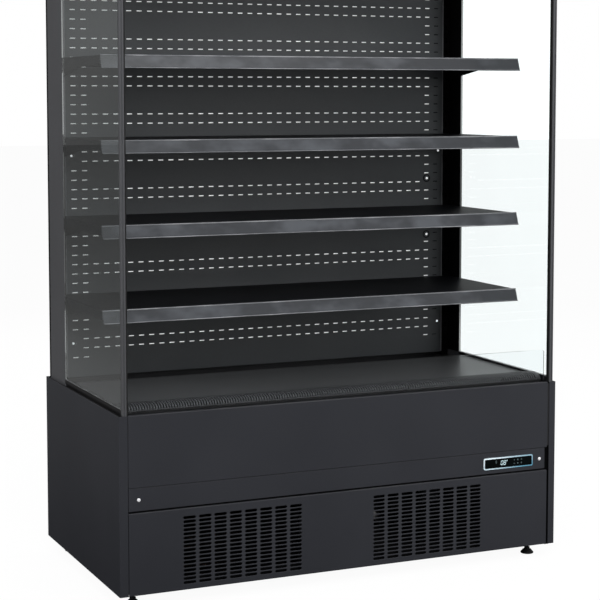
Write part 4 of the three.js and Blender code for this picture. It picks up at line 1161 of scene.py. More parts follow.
    def figures(self, x: float, z: float) -> None:
        """Makes two slanted seven-bar digits, a degree ring and the touch marks.

        Args:
            x: Centre of the controller.
            z: Its height.
        """
        y, (half, rise) = self.figure_y[0], self.digit_half
        bars = [(0.0, b, True) for b in (1.0, 0.0, -1.0)]
        bars += [(a, b, False) for b in (0.5, -0.5) for a in (-1.0, 1.0)]
        shape = Shape()
        for across, shown in zip(self.digits_x, ([bars[0], *bars[2:]], bars)):
            for a, b, lying in shown:
                wide, tall, lean = self.lying_bar if lying else self.standing_bar
                mid_x, mid_z = x + across + half * a + self.digit_slant * b, z + rise * b
                ends = ((-1, -1), (1, -1), (1, 1), (-1, 1))
                outline = [(mid_x + s * wide + t * lean, mid_z + t * tall) for s, t in ends]
                shape.bar(Axis.Y, outline, *self.figure_y)
        across, up = self.degree
        shape.turned(Axis.Y, (x + across, y, z + up), self.figure_ring, 12)
        self.add("display_figures", shape, FIGURES)
        shape, (half, rise) = Shape(), self.arrow_size
        for up in (-1, 1):
            tip_x, tip_z = x + self.arrows[0], z + self.arrows[1] * up
            tip = [(tip_x - half, tip_z - up), (tip_x + half, tip_z - up), (tip_x, tip_z + rise * up)]
            shape.bar(Axis.Y, tip, *self.figure_y)
        for across, up, size in self.dots:
            shape.turned(Axis.Y, (x + across, y, z + up), [(r * size, h) for r, h in self.figure_ring], 12)
        self.add("touch_marks", shape, DIM_FIGURES)

    def screws(self) -> None:
        """Makes the two domed screws of the strip."""
        for name, side in SIDES:
            place = (side * self.screw_x, self.screw_front, self.controller[1])
            shape = Shape().turned(Axis.Y, place, self.screw, 24)
            self.add(f"strip_screw_head_{name}", shape, SCREW_METAL, replaces=[f"strip_screw_{name}"])

    def feet(self) -> None:
        """Makes the levelling feet with their studs and lock nuts."""
        turns = [self.thread_pitch * turn for turn in range(self.thread_turns)]
        profile = [*self.foot, *[(r, z + up) for up in turns for r, z in self.thread], *self.stud_end]
        places = [(row, name, side) for row in (0, 1) for name, side in SIDES]
        for number, (row, name, side) in enumerate(places, 1):
            x, y = side * self.foot_x, self.foot_y[row]
            radius, low, high = self.lock_nut
            shape = Shape().turned(Axis.Z, (x, y, 0.0), profile)
            shape.bar(Axis.Z, arc((x, y), radius, 0, 300, 5), low, high)
            place = f"{('front', 'rear')[row]}_{name}"
            self.add(f"levelling_foot_{place}", shape, BLACK_MOULDING, Body(f"foot_{number}"), [f"foot_{place}"])


@dataclass
class Upper(Assembly):
    """The glazed ends, posts, rear wall and canopy."""

    outer: float = 655.0
    inner: float = 640.0
    glass_y: Point = (12.3, 524.7)
    glass_z: Point = (531.8, 1924.7)
    packing_height: float = 2.2
    packing_teeth: int = 56
    stile_bottom: float = 517.0
    seal_x: Point = (639.5, 643.0)
    lining_x: Point = (639.1, 639.9)
    sill_z: Point = (522.0, 531.5)
    post_front: float = 525.0
    depth: float = 686.7
    stand: float = 512.3
    top: float = 1980.0
    canopy: float = 1925.0
    header_bottom: float = 1760.0
    half: float = 639.2
    outlet_y: Point = (60.2, 122.6)
    outlet_cells: tuple[int, int] = (92, 4)
    lamp_y: Point = (20.0, 46.0)
    lamp_x: Point = (552.0, 560.0)
    lamp_top: float = 1759.7
    cover_y: Point = (686.9, 688.1)
    cover_z: Point = (518.0, 1920.0)
    screw_heights: tuple[float, ...] = (530.0, 760.0, 990.0, 1220.0, 1450.0, 1680.0, 1908.0)
    cover_screw: Outline = ((0.0, 1.6), (1.6, 1.5), (3.2, 0.8), (3.6, 0.0), (0.0, 0.0))

    def build(self) -> None:
        """Makes every piece of the upper body."""
        self.panes()
        self.frames()
        self.posts()
        self.canopy_pieces()
        self.outlet()
        self.lamp()
        self.rear_cover()
        self.dress_node("ceiling_panel", LINER_COAT)
        self.dress_node("rear_wall", SKIN)

    def panes(self) -> None:
        """Makes the thick panes of both ends and the packing strip that each stands on."""
        bottom, top = self.glass_z
        for name, side in SIDES:
            x = span(side, self.inner + 0.2, self.outer - 0.2)
            shape = Shape().block(x, self.glass_y, (bottom + 2.4, top), 0.7)
            self.add(f"end_pane_{name}", shape, PANE, replaces=[f"end_glass_{name}"])
            x = span(side, self.inner + 1.0, self.outer - 1.0)
            shape = Shape()
            for tooth in range(self.packing_teeth):
                y = self.glass_y[0] + 4.0 + 9.1 * tooth
                shape.block(x, (y, y + 6.4), (bottom, bottom + self.packing_height), 0.3, 1)
            self.add(f"pane_packing_{name}", shape, PACKING, replaces=[f"end_glass_{name}"])

    def frames(self) -> None:
        """Makes the slim stile, the sill and the stile's seal round each glazed end."""
        outer, groove = self.outer, (self.outer - 3.5, self.outer - 7.0)
        stile = [(outer, 0.0), (groove[0], 0.0), (groove[0], SHEET), (groove[1], SHEET), (groove[1], 0.0)]
        stile += [(outer - 12.0, 0.0), (outer - 12.0, 12.0), (outer, 12.0)]
        low, high = self.sill_z
        sill = [(outer, low), (outer, high), (self.inner, high), (self.inner, self.stand)]
        sill += [(outer - 3.0, self.stand), (outer - 3.0, low)]
        upright = (self.stile_bottom, self.glass_z[1])
        for name, side in SIDES:
            node = [f"glass_frame_{name}"]
            shape = Shape().bar(Axis.Z, mirrored(side, stile), *upright, {0: 1.6, 1: 0.4, 4: 0.4, 5: 0.6, 7: 0.6})
            self.add(f"end_frame_{name}", shape, SHELL_COAT, replaces=node)
            shape = Shape().bar(Axis.Y, mirrored(side, sill), 12.1, self.glass_y[1], {0: 0.5, 1: 1.2, 2: 0.8})
            self.add(f"end_sill_{name}", shape, SILL_COAT, replaces=node)
            shape = Shape().block(span(side, *self.seal_x), (0.4, 12.0), upright, 0.8)
            self.add(f"stile_seal_{name}", shape, RUBBER, replaces=node)

    def posts(self) -> None:
        """Makes the solid rear part of both ends."""
        outer, inner, back, top = self.outer, self.inner, self.depth, self.glass_z[1]
        outline = [(outer, self.post_front), (inner, self.post_front), (inner, back)]
        outline += [(outer - 1.5, back), (outer - 1.5, back - 15.0), (outer, back - 15.0)]
        for name, side in SIDES:
            node = [f"side_post_{name}"]
            shape = Shape().bar(Axis.Z, mirrored(side, outline), self.stand, top, {0: 1.2, 3: 2.0, 5: 1.0})
            self.add(f"rear_post_{name}", shape, SHELL_COAT, replaces=node)
            x, z = span(side, *self.lining_x), (self.sill_z[1] + 0.5, self.header_bottom - 2.0)
            shape = Shape().block(x, (self.post_front + 0.3, 599.0), z, 0.2, 1)
            x = span(side, outer - 1.4, outer - 0.1)
            shape.block(x, (back - 14.7, back - 0.3), (self.cover_z[0], top), 0.4, 1)
            self.add(f"post_lining_{name}", shape, BLACK_COAT, replaces=node)

    def canopy_pieces(self) -> None:
        """Makes the insulated top and the header in front of the air outlet."""
        outline = [(0.0, self.canopy), (self.depth, self.canopy), (self.depth, self.top)]
        outline += [(6.0, self.top), (0.0, self.top - 6.0)]
        shape = Shape().bar(Axis.X, outline, -self.outer, self.outer, {0: 1.2, 1: 1.2, 2: 2.0, 3: 2.5, 4: 2.5})
        self.add("top_slab", shape, SHELL_COAT, replaces=["canopy_top"])
        outline = channel(self.header_bottom, self.glass_z[1], 66.0, 20.0)
        shape = Shape().bar(Axis.X, outline, -self.half, self.half, {0: 2.2, 3: 0.7, 4: 0.7, 7: 2.2})
        self.add("header_panel", shape, SHELL_COAT, replaces=["canopy_header"])

    def outlet(self) -> None:
        """Makes the comb that straightens the air curtain."""
        (columns, ranks), wall, bottom = self.outlet_cells, 1.0, 1762.2
        pitch = 2 * self.half / columns
        front, back = self.outlet_y
        lines = cut_lines(self.half, -self.half + wall, pitch, pitch - 2 * wall, columns)
        depths = [front + 15.6 * rank + edge for rank in range(ranks) for edge in (wall, 14.6)]
        cells = [(1 + 2 * i, 1 + 2 * j) for i in range(columns) for j in range(ranks)]
        rows = [(y, bottom) for y in (front, *depths, back)]
        shape = Shape().sheet(lines, rows, {}, open_cells=cells, walls=16.5)
        low = min(v.co.z for v in shape.mesh.verts)
        bmesh.ops.translate(shape.mesh, vec=(0.0, 0.0, bottom - low), verts=shape.mesh.verts[:])
        self.add("outlet_comb", shape, BLACK_MOULDING, replaces=["air_outlet"])

    def lamp(self) -> None:
        """Makes the lamp under the header: a frosted cover and two end caps."""
        (front, back), (half, end), top = self.lamp_y, self.lamp_x, self.lamp_top
        cover = [(front, top), *arc(((front + back) / 2, 1754.0), 12.6, 180, 360, 10), (back, top)]
        self.add("lamp_diffuser", Shape().bar(Axis.X, cover, -half, half), LAMP_PLASTIC, replaces=["led_lamp"])
        shape = Shape()
        for _, side in SIDES:
            shape.block(span(side, half + 0.2, end), self.lamp_y, (1741.9, top), 2.5, 3)
        self.add("lamp_end_caps", shape, BLACK_MOULDING, replaces=["led_lamp"])

    def rear_cover(self) -> None:
        """Makes the folded cover sheets on the rear wall, with their screws."""
        shape, screws = Shape(), Shape()
        for _, side in SIDES:
            x0, x1 = span(side, 1.0, 636.0)
            shape.block((x0, x1), self.cover_y, self.cover_z, 0.5, 1)
            for z in self.screw_heights:
                for x in (x0 + 14.0, x1 - 14.0):
                    screws.turned(Axis.Y, (x, self.cover_y[1], z), self.cover_screw, 10)
        self.add("rear_cover_sheets", shape, GALVANISED)
        self.add("rear_cover_screws", screws, SCREW_METAL)


@dataclass
class Liner(Assembly):
    """The inner back panel, shelf uprights, deck, return grille and riser."""

    face: float = 600.0
    half: float = 617.0
    bottom: float = 525.0
    top: float = 1788.0
    lining_y: Point = (602.4, 603.6)
    lining_z: Point = (545.0, 1778.0)
    slot: Point = (15.8, 2.7)
    columns: int = 38
    column_start: float = -589.8
    column_pitch: float = 31.9
    rows: int = 44
    row_start: float = 581.8
    row_pitch: float = 27.34
    deck_half: float = 638.0
    deck_y: Point = (140.0, 492.0)
    deck_z: Point = (512.3, 527.0)
    ring_room: Point = (20.0, 15.0)  # no slot lies nearer than this across and up
    screw_room: Point = (24.0, 19.0)
    ring_places: tuple[Point, ...] = ((558.6, 905.7), (558.6, 1084.3))
    screw_places: tuple[Point, ...] = ((-597.0, 1172.0), (600.0, 1172.0), (-597.0, 624.0), (600.0, 624.0))
    screw: Outline = ((0.0, -2.6), (2.0, -2.4), (3.6, -1.2), (4.2, 0.0), (0.0, 0.0))
    ring: Outline = ((9.6, 0.0), (9.6, -2.2), (12.0, -2.2), (12.0, 0.0), (9.6, 0.0))
    cup: Outline = ((0.0, -1.9), (8.6, -1.9), (9.5, -1.3), (9.5, 0.0), (0.0, 0.0))
    return_curve: Outline = (
        (139.7, 512.3), (139.7, 525.2), (138.4, 526.9), (133.0, 528.2), (118.0, 531.6), (98.0, 535.3),
        (84.0, 536.4), (72.0, 536.6), (62.0, 535.8), (52.0, 533.4), (46.5, 530.4), (42.4, 526.6),
        (40.4, 522.4), (40.0, 518.5), (40.0, 512.3),
    )
    return_cut: range = range(3, 12)  # the stretches of the curve that are open between ribs
    return_end: Outline = (
        (139.0, 513.0), (139.0, 525.5), (98.0, 534.0), (72.0, 535.2), (52.0, 532.2), (42.0, 524.6), (41.2, 513.0),
    )

    def build(self) -> None:
        """Makes every piece of the liner."""
        self.back()
        self.panel_screws()
        self.deck()
        self.return_grille()
        self.riser()
        for name, _ in SIDES:
            self.dress_node(f"shelf_upright_{name}", BLACK_COAT)

    def is_free(self, x: float, z: float) -> bool:
        """Returns whether a slot of the back panel is clear of its rings and screws."""
        rooms = [(self.ring_room, self.ring_places), (self.screw_room, self.screw_places)]
        return not any(abs(x - a) < w and abs(z - b) < h for (w, h), places in rooms for a, b in places)

    def back(self) -> None:
        """Makes the perforated back panel and the white lining behind it."""
        half, face, last = self.half, self.face, self.columns - 1
        width, height = self.slot
        centres = [self.column_start + i * self.column_pitch for i in range(self.columns)]
        levels = [self.row_start + i * self.row_pitch for i in range(self.rows)]
        lines = [-half, *[x - self.column_pitch / 2 for x in centres], centres[-1] + self.column_pitch / 2, half]
        heights = [self.bottom, *[z - self.row_pitch / 2 for z in levels]]
        heights += [levels[-1] + self.row_pitch / 2, self.top]
        holes = {
            (i + 1, j + 1): (x - width / 2, x + width / 2, z - height / 2, z + height / 2)
            for j, z in enumerate(levels)
            for i, x in enumerate(centres)
            if (j % 4 in (1, 2) or i in (0, 1, last - 1, last)) and self.is_free(x, z)
        }
        shape = Shape().sheet(lines, [(face, z) for z in heights], holes)
        self.add("perforated_back", shape, LINER_COAT, replaces=["back_panel"], smooth=60.0, thickness=1.2)
        shape = Shape()
        for _, side in SIDES:
            shape.block(span(side, half - 1.2, half), (face + 1.2, face + 11.0), (self.bottom, self.top), 0.3, 1)
        self.add("back_flanges", shape, LINER_COAT, replaces=["back_panel"])
        # The white lining behind the slots glows, painted light; duct_shade is a black strip behind the last column
        # of slots, painted shade.
        for name, x, finish in (
            ("duct_lining", (-604.0, centres[-1] - 13.0), GLOWING_LINING),
            ("duct_shade", (centres[-1] - 12.6, half - 1.6), BLACK_COAT),
        ):
            self.add(name, Shape().block(x, self.lining_y, self.lining_z, 0.3, 1), finish)
        # Light beads down both edges of the back panel are painted highlight lines.
        shape = Shape()
        for _, side in SIDES:
            shape.block(span(side, half - 3.6, half), (face - 1.6, face), (self.bottom + 2.0, self.top), 0.7, 3)
        self.add("back_edge_highlight_beads", shape, EDGE_HIGHLIGHT_COAT, replaces=["back_panel"])

    def panel_screws(self) -> None:
        """Makes the small screws and the ringed fixings on the back panel."""
        shape = Shape()
        for x, z in self.screw_places:
            shape.turned(Axis.Y, (x, self.face, z), self.screw, 16)
        for x, z in self.ring_places:
            shape.turned(Axis.Y, (x + 0.8, self.face - 1.9, z), [(0.9 * r, h) for r, h in self.screw], 16)
        # The screws' glow is a painted highlight.
        self.add("liner_screws", shape, GLOWING_SCREW)
        for name, profile, finish in (("liner_rings", self.ring, BLACK_COAT), ("liner_caps", self.cup, LINER_COAT)):
            shape = Shape()
            for x, z in self.ring_places:
                shape.turned(Axis.Y, (x, self.face, z), profile)
            self.add(name, shape, finish)

    def deck(self) -> None:
        """Makes the deck pan with rounded bends and a row of small slots at its rear."""
        (y0, y1), (low, high), bend = self.deck_y, self.deck_z, 2.5
        pitch, cut, margin = 9.5, 4.0, 10.0
        count = int((2 * self.deck_half - 2 * margin) / pitch)
        lines = cut_lines(self.deck_half, -count * pitch / 2, pitch, cut, count)
        rows = [(y0, low), *arc((y0 + bend, high - bend), bend, 180, 90)]
        slots = len(rows)
        rows += [(y1 - 13.0, high), (y1 - 6.5, high), *arc((y1 - bend, high - bend), bend, 90, 0), (y1, low)]
        shape = Shape().sheet(lines, rows, {}, open_cells=[(1 + 2 * i, slots) for i in range(count)])
        part = bmesh.new()
        corners = [(y0 + 1.0, low), (y1 - 1.0, low), (y1 - 1.0, high - 0.4), (y0 + 1.0, high - 0.4)]
        for x in (-self.deck_half, self.deck_half):
            part.faces.new([part.verts.new((x, y, z)) for y, z in corners])
        shape.take(part).face_out(600.0, (165.0, 470.0), 516.0)
        self.add("deck_plate", shape, DECK_COAT, Body.DECK, ["deck_pan"], smooth=50.0, thickness=SHEET)

    def return_grille(self) -> None:
        """Makes the curved air-return grille with its fine ribs."""
        pitch, rib, margin = 7.6, 4.4, 8.0
        count = int((2 * self.deck_half - 2 * margin) / pitch)
        lines = cut_lines(self.deck_half, -count * pitch / 2, pitch, pitch - rib, count)
        cells = [(1 + 2 * i, j) for i in range(count) for j in self.return_cut]
        shape = Shape().sheet(lines, self.return_curve, {}, open_cells=cells)
        shape.face_out(self.deck_half, (88.0, 88.0), 505.0)
        self.add("return_ribs", shape, RETURN_COAT, Body.AIR_RETURN, ["return_grille"], smooth=50.0, thickness=0.6)
        shape = Shape()
        for _, side in SIDES:
            shape.bar(Axis.X, self.return_end, *span(side, 635.5, self.deck_half))
        shape.block((-637.5, 637.5), (37.6, 39.9), (512.4, 520.8), 0.4, 1)
        self.add("return_end_plates", shape, BLACK_MOULDING, Body.AIR_RETURN, ["return_grille"])

    def riser(self) -> None:
        """Makes the clear riser with its polished edge."""
        half, bottom, shoulder, radius = 637.0, 502.3, 601.0, 8.0
        outline = [(-half, bottom), (half, bottom), (half, shoulder)]
        outline += arc((half - radius, shoulder), radius, 10, 90, 6)
        outline += [*arc((radius - half, shoulder), radius, 90, 170, 6), (-half, shoulder)]
        shape = Shape().bar(Axis.Y, outline, 20.0, 24.0, rim=0.6)
        self.add("clear_riser", shape, ACRYLIC, Body.RISER, ["front_riser"])


@dataclass
class Shelf(Assembly):
    """One shelf: its folded plate, leaning label rail and brackets."""

    number: int = 1
    first: float = 770.0
    pitch: float = 228.0
    half: float = 638.0
    depth: Point = (185.8, 594.0)
    flange: float = 25.0
    rail_top: Point = (182.5, 2.0)  # Y, and Z over the shelf's top
    rail_slope: Point = (-13.8, -36.4)  # how far the rail leans out and drops
    rail_thickness: float = 3.0

    def build(self) -> None:
        """Makes every piece of the shelf."""
        name = f"shelf_{self.number}"
        level, body = self.first + (self.number - 1) * self.pitch, Body(name)
        tray = Shape().block((-self.half, self.half), self.depth, (level - self.flange, level), 2.2, 3, opening=-1)
        self.add(f"{name}_tray", tray, SHELF_COAT, body, [f"{name}_plate"], thickness=SHEET)
        self.rail(level, name, body)
        for end, _ in SIDES:
            self.dress_node(f"{name}_bracket_{end}", BLACK_COAT)

    def rail(self, level: float, name: str, body: Body) -> None:
        """Makes the leaning rail with its two ridges and the label channel between them.

        Args:
            level: Height of the shelf's top.
            name: Name of the shelf.
            body: Body that it moves with.
        """
        (top_y, rise), thick, length = self.rail_top, self.rail_thickness, math.hypot(*self.rail_slope)
        slope = Vector(self.rail_slope) / length
        inward = Vector((-slope.y, slope.x))

        def on_face(down: float, into: float) -> Point:
            """Returns a point of the leaning face."""
            return tuple(Vector((top_y, rise + level)) + slope * down + inward * into)

        drawn = ((0.0, 0.0), (3.0, 0.0), (3.4, 1.0), (length - 3.4, 1.0), (length - 3.0, 0.0), (length, 0.0))
        outline = [on_face(*point) for point in (*drawn, (length, thick))]
        outline += [(top_y + 0.2 * thick, level - 8.4), (top_y + 0.2 * thick, level - 24.0)]
        outline += [(top_y + thick, level - 24.0), (top_y + thick, level + rise)]
        bends = {0: 1.0, 1: 0.7, 4: 0.7, 5: 1.0, 6: 0.9, 10: 0.9}
        shape = Shape().bar(Axis.X, outline, -self.half, self.half, bends)
        self.add(f"{name}_label_rail", shape, RAIL, body, [f"{name}_price_rail"])
        # Light beads along both ridges of the rail are painted highlight lines.
        shape, width = Shape(), 2 * self.half
        for down, radius in ((1.9, 1.9), (length - 1.3, 1.3)):
            rod = [(0.0, 0.0), (radius * 0.8, 0.0), (radius, 0.4)]
            rod += [(radius, width - 0.4), (radius * 0.8, width), (0.0, width)]
            shape.turned(Axis.X, (-self.half, *on_face(down, radius * 0.55)), rod, 12)
        self.add(f"{name}_rail_highlight_beads", shape, RIDGE_HIGHLIGHT_BEAD, body, [f"{name}_price_rail"])


@dataclass
class Rotor:
    """An axial fan rotor about the Y axis."""

    centre: Place
    tip: float
    hub: float
    length: float
    forward: int  # 1 or -1, the way the blades are pitched
    blades: int = 5

    def shape(self) -> Shape:
        """Makes the hub and the swept blades.

        Returns:
            The rotor's shape.
        """
        hub, length, end = self.hub, self.length, self.length / 2
        shell = [(0.0, -end), (hub * 0.8, -end), (hub, -end + 3.0), (hub, end), (0.0, end)]
        shape = Shape().turned(Axis.Y, self.centre, shell, 28)
        for number in range(self.blades):
            part = bmesh.new()
            bmesh.ops.create_grid(part, x_segments=6, y_segments=5, size=0.5)
            for vert in part.verts:
                out, along = vert.co.x + 0.5, vert.co.y
                radius = hub * 0.92 + (self.tip - hub * 0.92) * out
                pitch = math.radians(46.0 - 20.0 * out) * self.forward
                swept = along * (0.75 + 0.55 * out - 0.35 * out * out) * length * 1.25
                bow = 2.5 * (1 - (2 * along) ** 2)
                angle = (swept * math.cos(pitch) + 6.0 * out * out) / radius
                height = max(-end, min(end, swept * math.sin(pitch) + bow))
                vert.co = (radius * math.sin(angle), height, radius * math.cos(angle))
            bmesh.ops.solidify(part, geom=part.faces[:], thickness=1.2)
            turn = Matrix.Rotation(math.tau * number / self.blades, 4, "Y")
            shape.take(part, Matrix.Translation(self.centre) @ turn)
        return shape


@dataclass
class Cooling(Assembly):
    """The evaporator and its fans in the tub."""

    coil_half: float = 540.0
    coil_y: Point = (330.0, 540.0)
    coil_z: Point = (372.3, 480.3)
    stand: float = 362.3
    fins: int = 120
    tube: float = 4.8
    leg: float = 14.0
    tube_heights: tuple[float, ...] = (390.0, 426.0, 462.0)
    fan: Place = (300.0, 236.0, 440.0)

    def build(self) -> None:
        """Makes every piece of the cooling unit."""
        self.coil()
        for (name, side), body in zip(SIDES, (Body.TUB_ROTOR_LEFT, Body.TUB_ROTOR_RIGHT)):
            shape = Rotor((side * self.fan[0], *self.fan[1:]), tip=58.0, hub=17.0, length=19.6, forward=1).shape()
            self.add(f"tub_fan_{name}", shape, BLACK_MOULDING, body, [f"evaporator_fan_{name}"])
        self.dress_node("evaporator_fan_plate", GALVANISED)

    def coil(self) -> None:
        """Makes the finned block, its end plates and the tube bends."""
        half, (y0, y1) = self.coil_half, self.coil_y
        shape = Shape()
        for i in range(self.fins + 1):
            x = -half + i * (2 * half / self.fins)
            shape.block((x - 0.4, x + 0.4), self.coil_y, self.coil_z)
        for _, side in SIDES:
            shape.block(span(side, half, half + 5.0), (y0 - 8.0, y1 + 8.0), (self.stand, self.coil_z[1] + 8.0), 1.0)
        self.add("evaporator_fins", shape, FIN_METAL, replaces=["evaporator_coil"])
        shape = Shape()
        for i in range(3):
            for z in self.tube_heights:
                y = y0 + (i + 0.5) * (y1 - y0) / 3
                for leg in (-self.leg, self.leg):
                    shape.rod((-half - 6.0, y + leg, z), self.tube, 2 * half + 12.0)
                shape.take(self.bend(half + 5.5, y, z))
        self.add("evaporator_tubes", shape, COPPER, replaces=["evaporator_coil"])

    def bend(self, x: float, y: float, z: float) -> Mesh:
        """Makes a half-round tube bend.

        Args:
            x: Plane that it leaves.
            y: Middle of its legs.
            z: Its height.

        Returns:
            The bend's mesh.
        """
        part = bmesh.new()
        ring = bmesh.ops.create_circle(part, segments=10, radius=self.tube, cap_ends=True)["verts"]
        turn = Matrix.Translation((x, y - self.leg, z)) @ Matrix.Rotation(math.pi / 2, 4, "Y")
        bmesh.ops.transform(part, matrix=turn, verts=ring)
        axis = (0.0, 0.0, 1.0)
        bmesh.ops.spin(part, geom=part.faces[:], cent=(x, y, z), axis=axis, angle=math.pi, steps=8, use_merge=False)
        return part


@dataclass
class Machinery(Assembly):
    """The condensing unit in the base."""

    coil_x: float = -316.0
    coil_half: float = 174.0
    coil_y: Point = (30.0, 90.0)
    coil_z: Point = (43.1, 239.1)
    fin_y: Point = (32.0, 88.0)
    fin_z: Point = (49.1, 233.1)
    tube_y: Point = (46.0, 74.0)
    fan_y: float = 108.3
    fan_z: float = 150.0
    fins: int = 70
    tray: tuple[Point, Point, Point] = ((-110.0, 190.0), (330.0, 600.0), (43.1, 103.1))
    pump: Point = (370.0, 430.0)
    pump_shell: Outline = (
        (0.0, 57.0), (50.0, 57.0), (66.0, 62.0), (76.0, 74.0), (78.0, 90.0), (78.0, 138.0), (80.5, 140.0),
        (80.5, 146.0), (78.0, 148.0), (78.0, 190.0), (75.0, 206.0), (66.0, 220.0), (50.0, 229.0),
        (28.0, 232.6), (0.0, 233.2),
    )
    plate_half: Point = (95.0, 75.0)  # this and the next lengths across run from the pump
    plate_z: Point = (52.1, 55.1)
    stand_x: Point = (20.0, 34.0)
    stand_half: float = 60.0
    stand_z: Point = (55.0, 62.0)
    terminal_half: float = 27.0
    terminal_y: Point = (-96.0, -74.0)
    terminal_z: Point = (117.0, 164.0)
    grommet_places: Point = (86.0, 66.0)
    grommet: Outline = (
        (0.0, 43.1), (8.4, 43.1), (9.0, 44.0), (9.0, 47.0), (6.6, 48.6), (9.0, 50.4), (9.0, 52.0), (0.0, 52.0),
    )
    box_x: Point = (440.0, 590.0)
    box_y: Point = (562.5, 665.0)
    box_z: Point = (43.1, 193.1)
    lid_front: float = 560.0
    box_screw: Outline = ((0.0, -1.8), (1.8, -1.7), (3.4, -0.9), (3.8, 0.0), (0.0, 0.0))
    box_screw_z: Point = (52.0, 184.0)
    gland: Point = (515.0, 90.0)
    gland_body: Outline = (
        (5.0, 0.3), (11.0, 0.3), (11.0, 4.0), (10.0, 4.4), (10.0, 9.0), (8.2, 10.4), (7.6, 18.0),
        (6.2, 21.0), (5.0, 21.0), (5.0, 0.3),
    )
    gland_nut: Place = (11.6, 4.5, 8.5)  # radius, and its faces behind the rear edge
    discharge: tuple[Place, ...] = (
        (310.0, 390.0, 206.0), (260.0, 370.0, 222.0), (130.0, 300.0, 226.0), (-60.0, 220.0, 222.0),
        (-136.0, 140.0, 214.0), (-141.0, 80.0, 210.0),
    )
    suction: tuple[Place, ...] = (
        (410.0, 480.0, 200.0), (440.0, 520.0, 240.0), (430.0, 560.0, 290.0), (420.0, 590.0, 326.0),
    )
    liquid: tuple[Place, ...] = (
        (-141.0, 46.0, 66.0), (-120.0, 120.0, 70.0), (-90.0, 240.0, 110.0), (-60.0, 292.0, 180.0),
        (-30.0, 300.0, 260.0), (-30.0, 330.0, 328.0),
    )
    drier_place: Place = (-40.0, 297.0, 140.0)
    drier: Outline = (
        (0.0, 0.0), (4.0, 1.0), (11.0, 12.0), (12.0, 18.0), (12.0, 88.0), (11.0, 94.0), (4.0, 105.0), (0.0, 106.0),
    )

    def build(self) -> None:
        """Makes every piece of the condensing unit."""
        self.coil()
        shape = Rotor((self.coil_x, self.fan_y, self.fan_z), tip=89.5, hub=28.0, length=23.6, forward=-1).shape()
        self.add("condenser_rotor_blades", shape, FIN_METAL, Body.CONDENSER_ROTOR, ["condenser_fan"])
        self.dress_node("condenser_fan_shroud", GALVANISED)
        self.compressor()
        shape = Shape().block(*self.tray, 8.0, 4, opening=1)
        self.add("condensate_tray", shape, TRAY_PLASTIC, replaces=["drip_tray"], thickness=2.0)
        self.electrics()
        self.tubes()

    def coil(self) -> None:
        """Makes the condenser's fins, end plates and tubes."""
        half, left, right = self.coil_half, self.coil_x - self.coil_half, self.coil_x + self.coil_half
        shape = Shape()
        for i in range(self.fins + 1):
            x = left + i * (2 * half / self.fins)
            shape.block((x - 0.35, x + 0.35), self.fin_y, self.fin_z)
        for x in ((left - 3.0, left), (right, right + 3.0)):
            shape.block(x, self.coil_y, self.coil_z, 0.6)
        self.add("condenser_fins", shape, BLACK_COAT, replaces=["condenser_coil"])
        shape = Shape()
        for row in range(7):
            for y in self.tube_y:
                shape.rod((left - 2.0, y, 62.0 + 26.0 * row), 4.0, 2 * half + 4.0)
        self.add("condenser_tubes", shape, COPPER, replaces=["condenser_coil"])

    def compressor(self) -> None:
        """Makes the hermetic compressor on its foot plate."""
        x, y = self.pump
        (wide, deep), (near, far), (front, back) = self.plate_half, self.stand_x, self.terminal_y
        shape = Shape().turned(Axis.Z, (x, y, 0.0), self.pump_shell, 48)
        shape.block((x - wide, x + wide), (y - deep, y + deep), self.plate_z, 1.2)
        for stand in ((x - far, x - near), (x + near, x + far)):
            shape.block(stand, (y - self.stand_half, y + self.stand_half), self.stand_z, 1.0)
        half = self.terminal_half
        shape.block((x - half, x + half), (y + front, y + back), self.terminal_z, 4.0, 3)
        self.add("compressor_shell", shape, ENAMEL, replaces=["compressor"])
        shape, (across, back) = Shape(), self.grommet_places
        for place in ((x - across, y - back), (x - across, y + back), (x + across, y - back), (x + across, y + back)):
            shape.turned(Axis.Z, (*place, 0.0), self.grommet, 16)
        self.add("compressor_grommets", shape, RUBBER, replaces=["compressor"])

    def electrics(self) -> None:
        """Makes the electrical box with its lid, and the cable gland."""
        (left, right), (front, back), (low, high) = self.box_x, self.box_y, self.box_z
        shape = Shape().block(self.box_x, self.box_y, self.box_z, 1.5)
        lid_z = (low - 0.2, high + 1.2)
        shape.block((left - 1.2, right + 1.2), (self.lid_front, front - 0.1), lid_z, 1.0)
        self.add("switch_box", shape, GALVANISED, replaces=["electrical_box"])
        shape = Shape()
        for x in (left + 8.0, right - 8.0):
            for z in self.box_screw_z:
                shape.turned(Axis.Y, (x, self.lid_front, z), self.box_screw, 12)
        self.add("switch_box_screws", shape, SCREW_METAL, replaces=["electrical_box"])
        (x, z), (radius, near, far) = self.gland, self.gland_nut
        shape = Shape().turned(Axis.Y, (x, back, z), self.gland_body, 24)
        shape.bar(Axis.Y, arc((x, z), radius, 0, 300, 5), back + near, back + far)
        self.add("gland", shape, BLACK_MOULDING, replaces=["cable_gland"])

    def tubes(self) -> None:
        """Makes the refrigerant tubes and the filter drier."""
        self.pipe("discharge_tube", self.discharge, 4.0, ENAMEL)
        self.pipe("suction_tube", self.suction, 6.0, RUBBER)
        self.pipe("liquid_tube", self.liquid, 3.2, COPPER)
        self.add("filter_drier", Shape().turned(Axis.Z, self.drier_place, self.drier, 24), COPPER)


@dataclass(frozen=True)
class Lamp:
    """A soft square lamp of the studio."""

    name: str
    place: Place
    size: float
    power: float

    def hang(self, target: Vector) -> None:
        """Hangs the lamp so that it faces a point and is never seen or mirrored.

        Args:
            target: The point.
        """
        data = bpy.data.lights.new(self.name, "AREA")
        data.energy, data.size = self.power, self.size
        lamp = show(bpy.data.objects.new(self.name, data))
        lamp.location = self.place
        lamp.rotation_euler = (target - Vector(self.place)).to_track_quat("-Z", "Y").to_euler()
        lamp.visible_camera = lamp.visible_glossy = lamp.visible_transmission = False


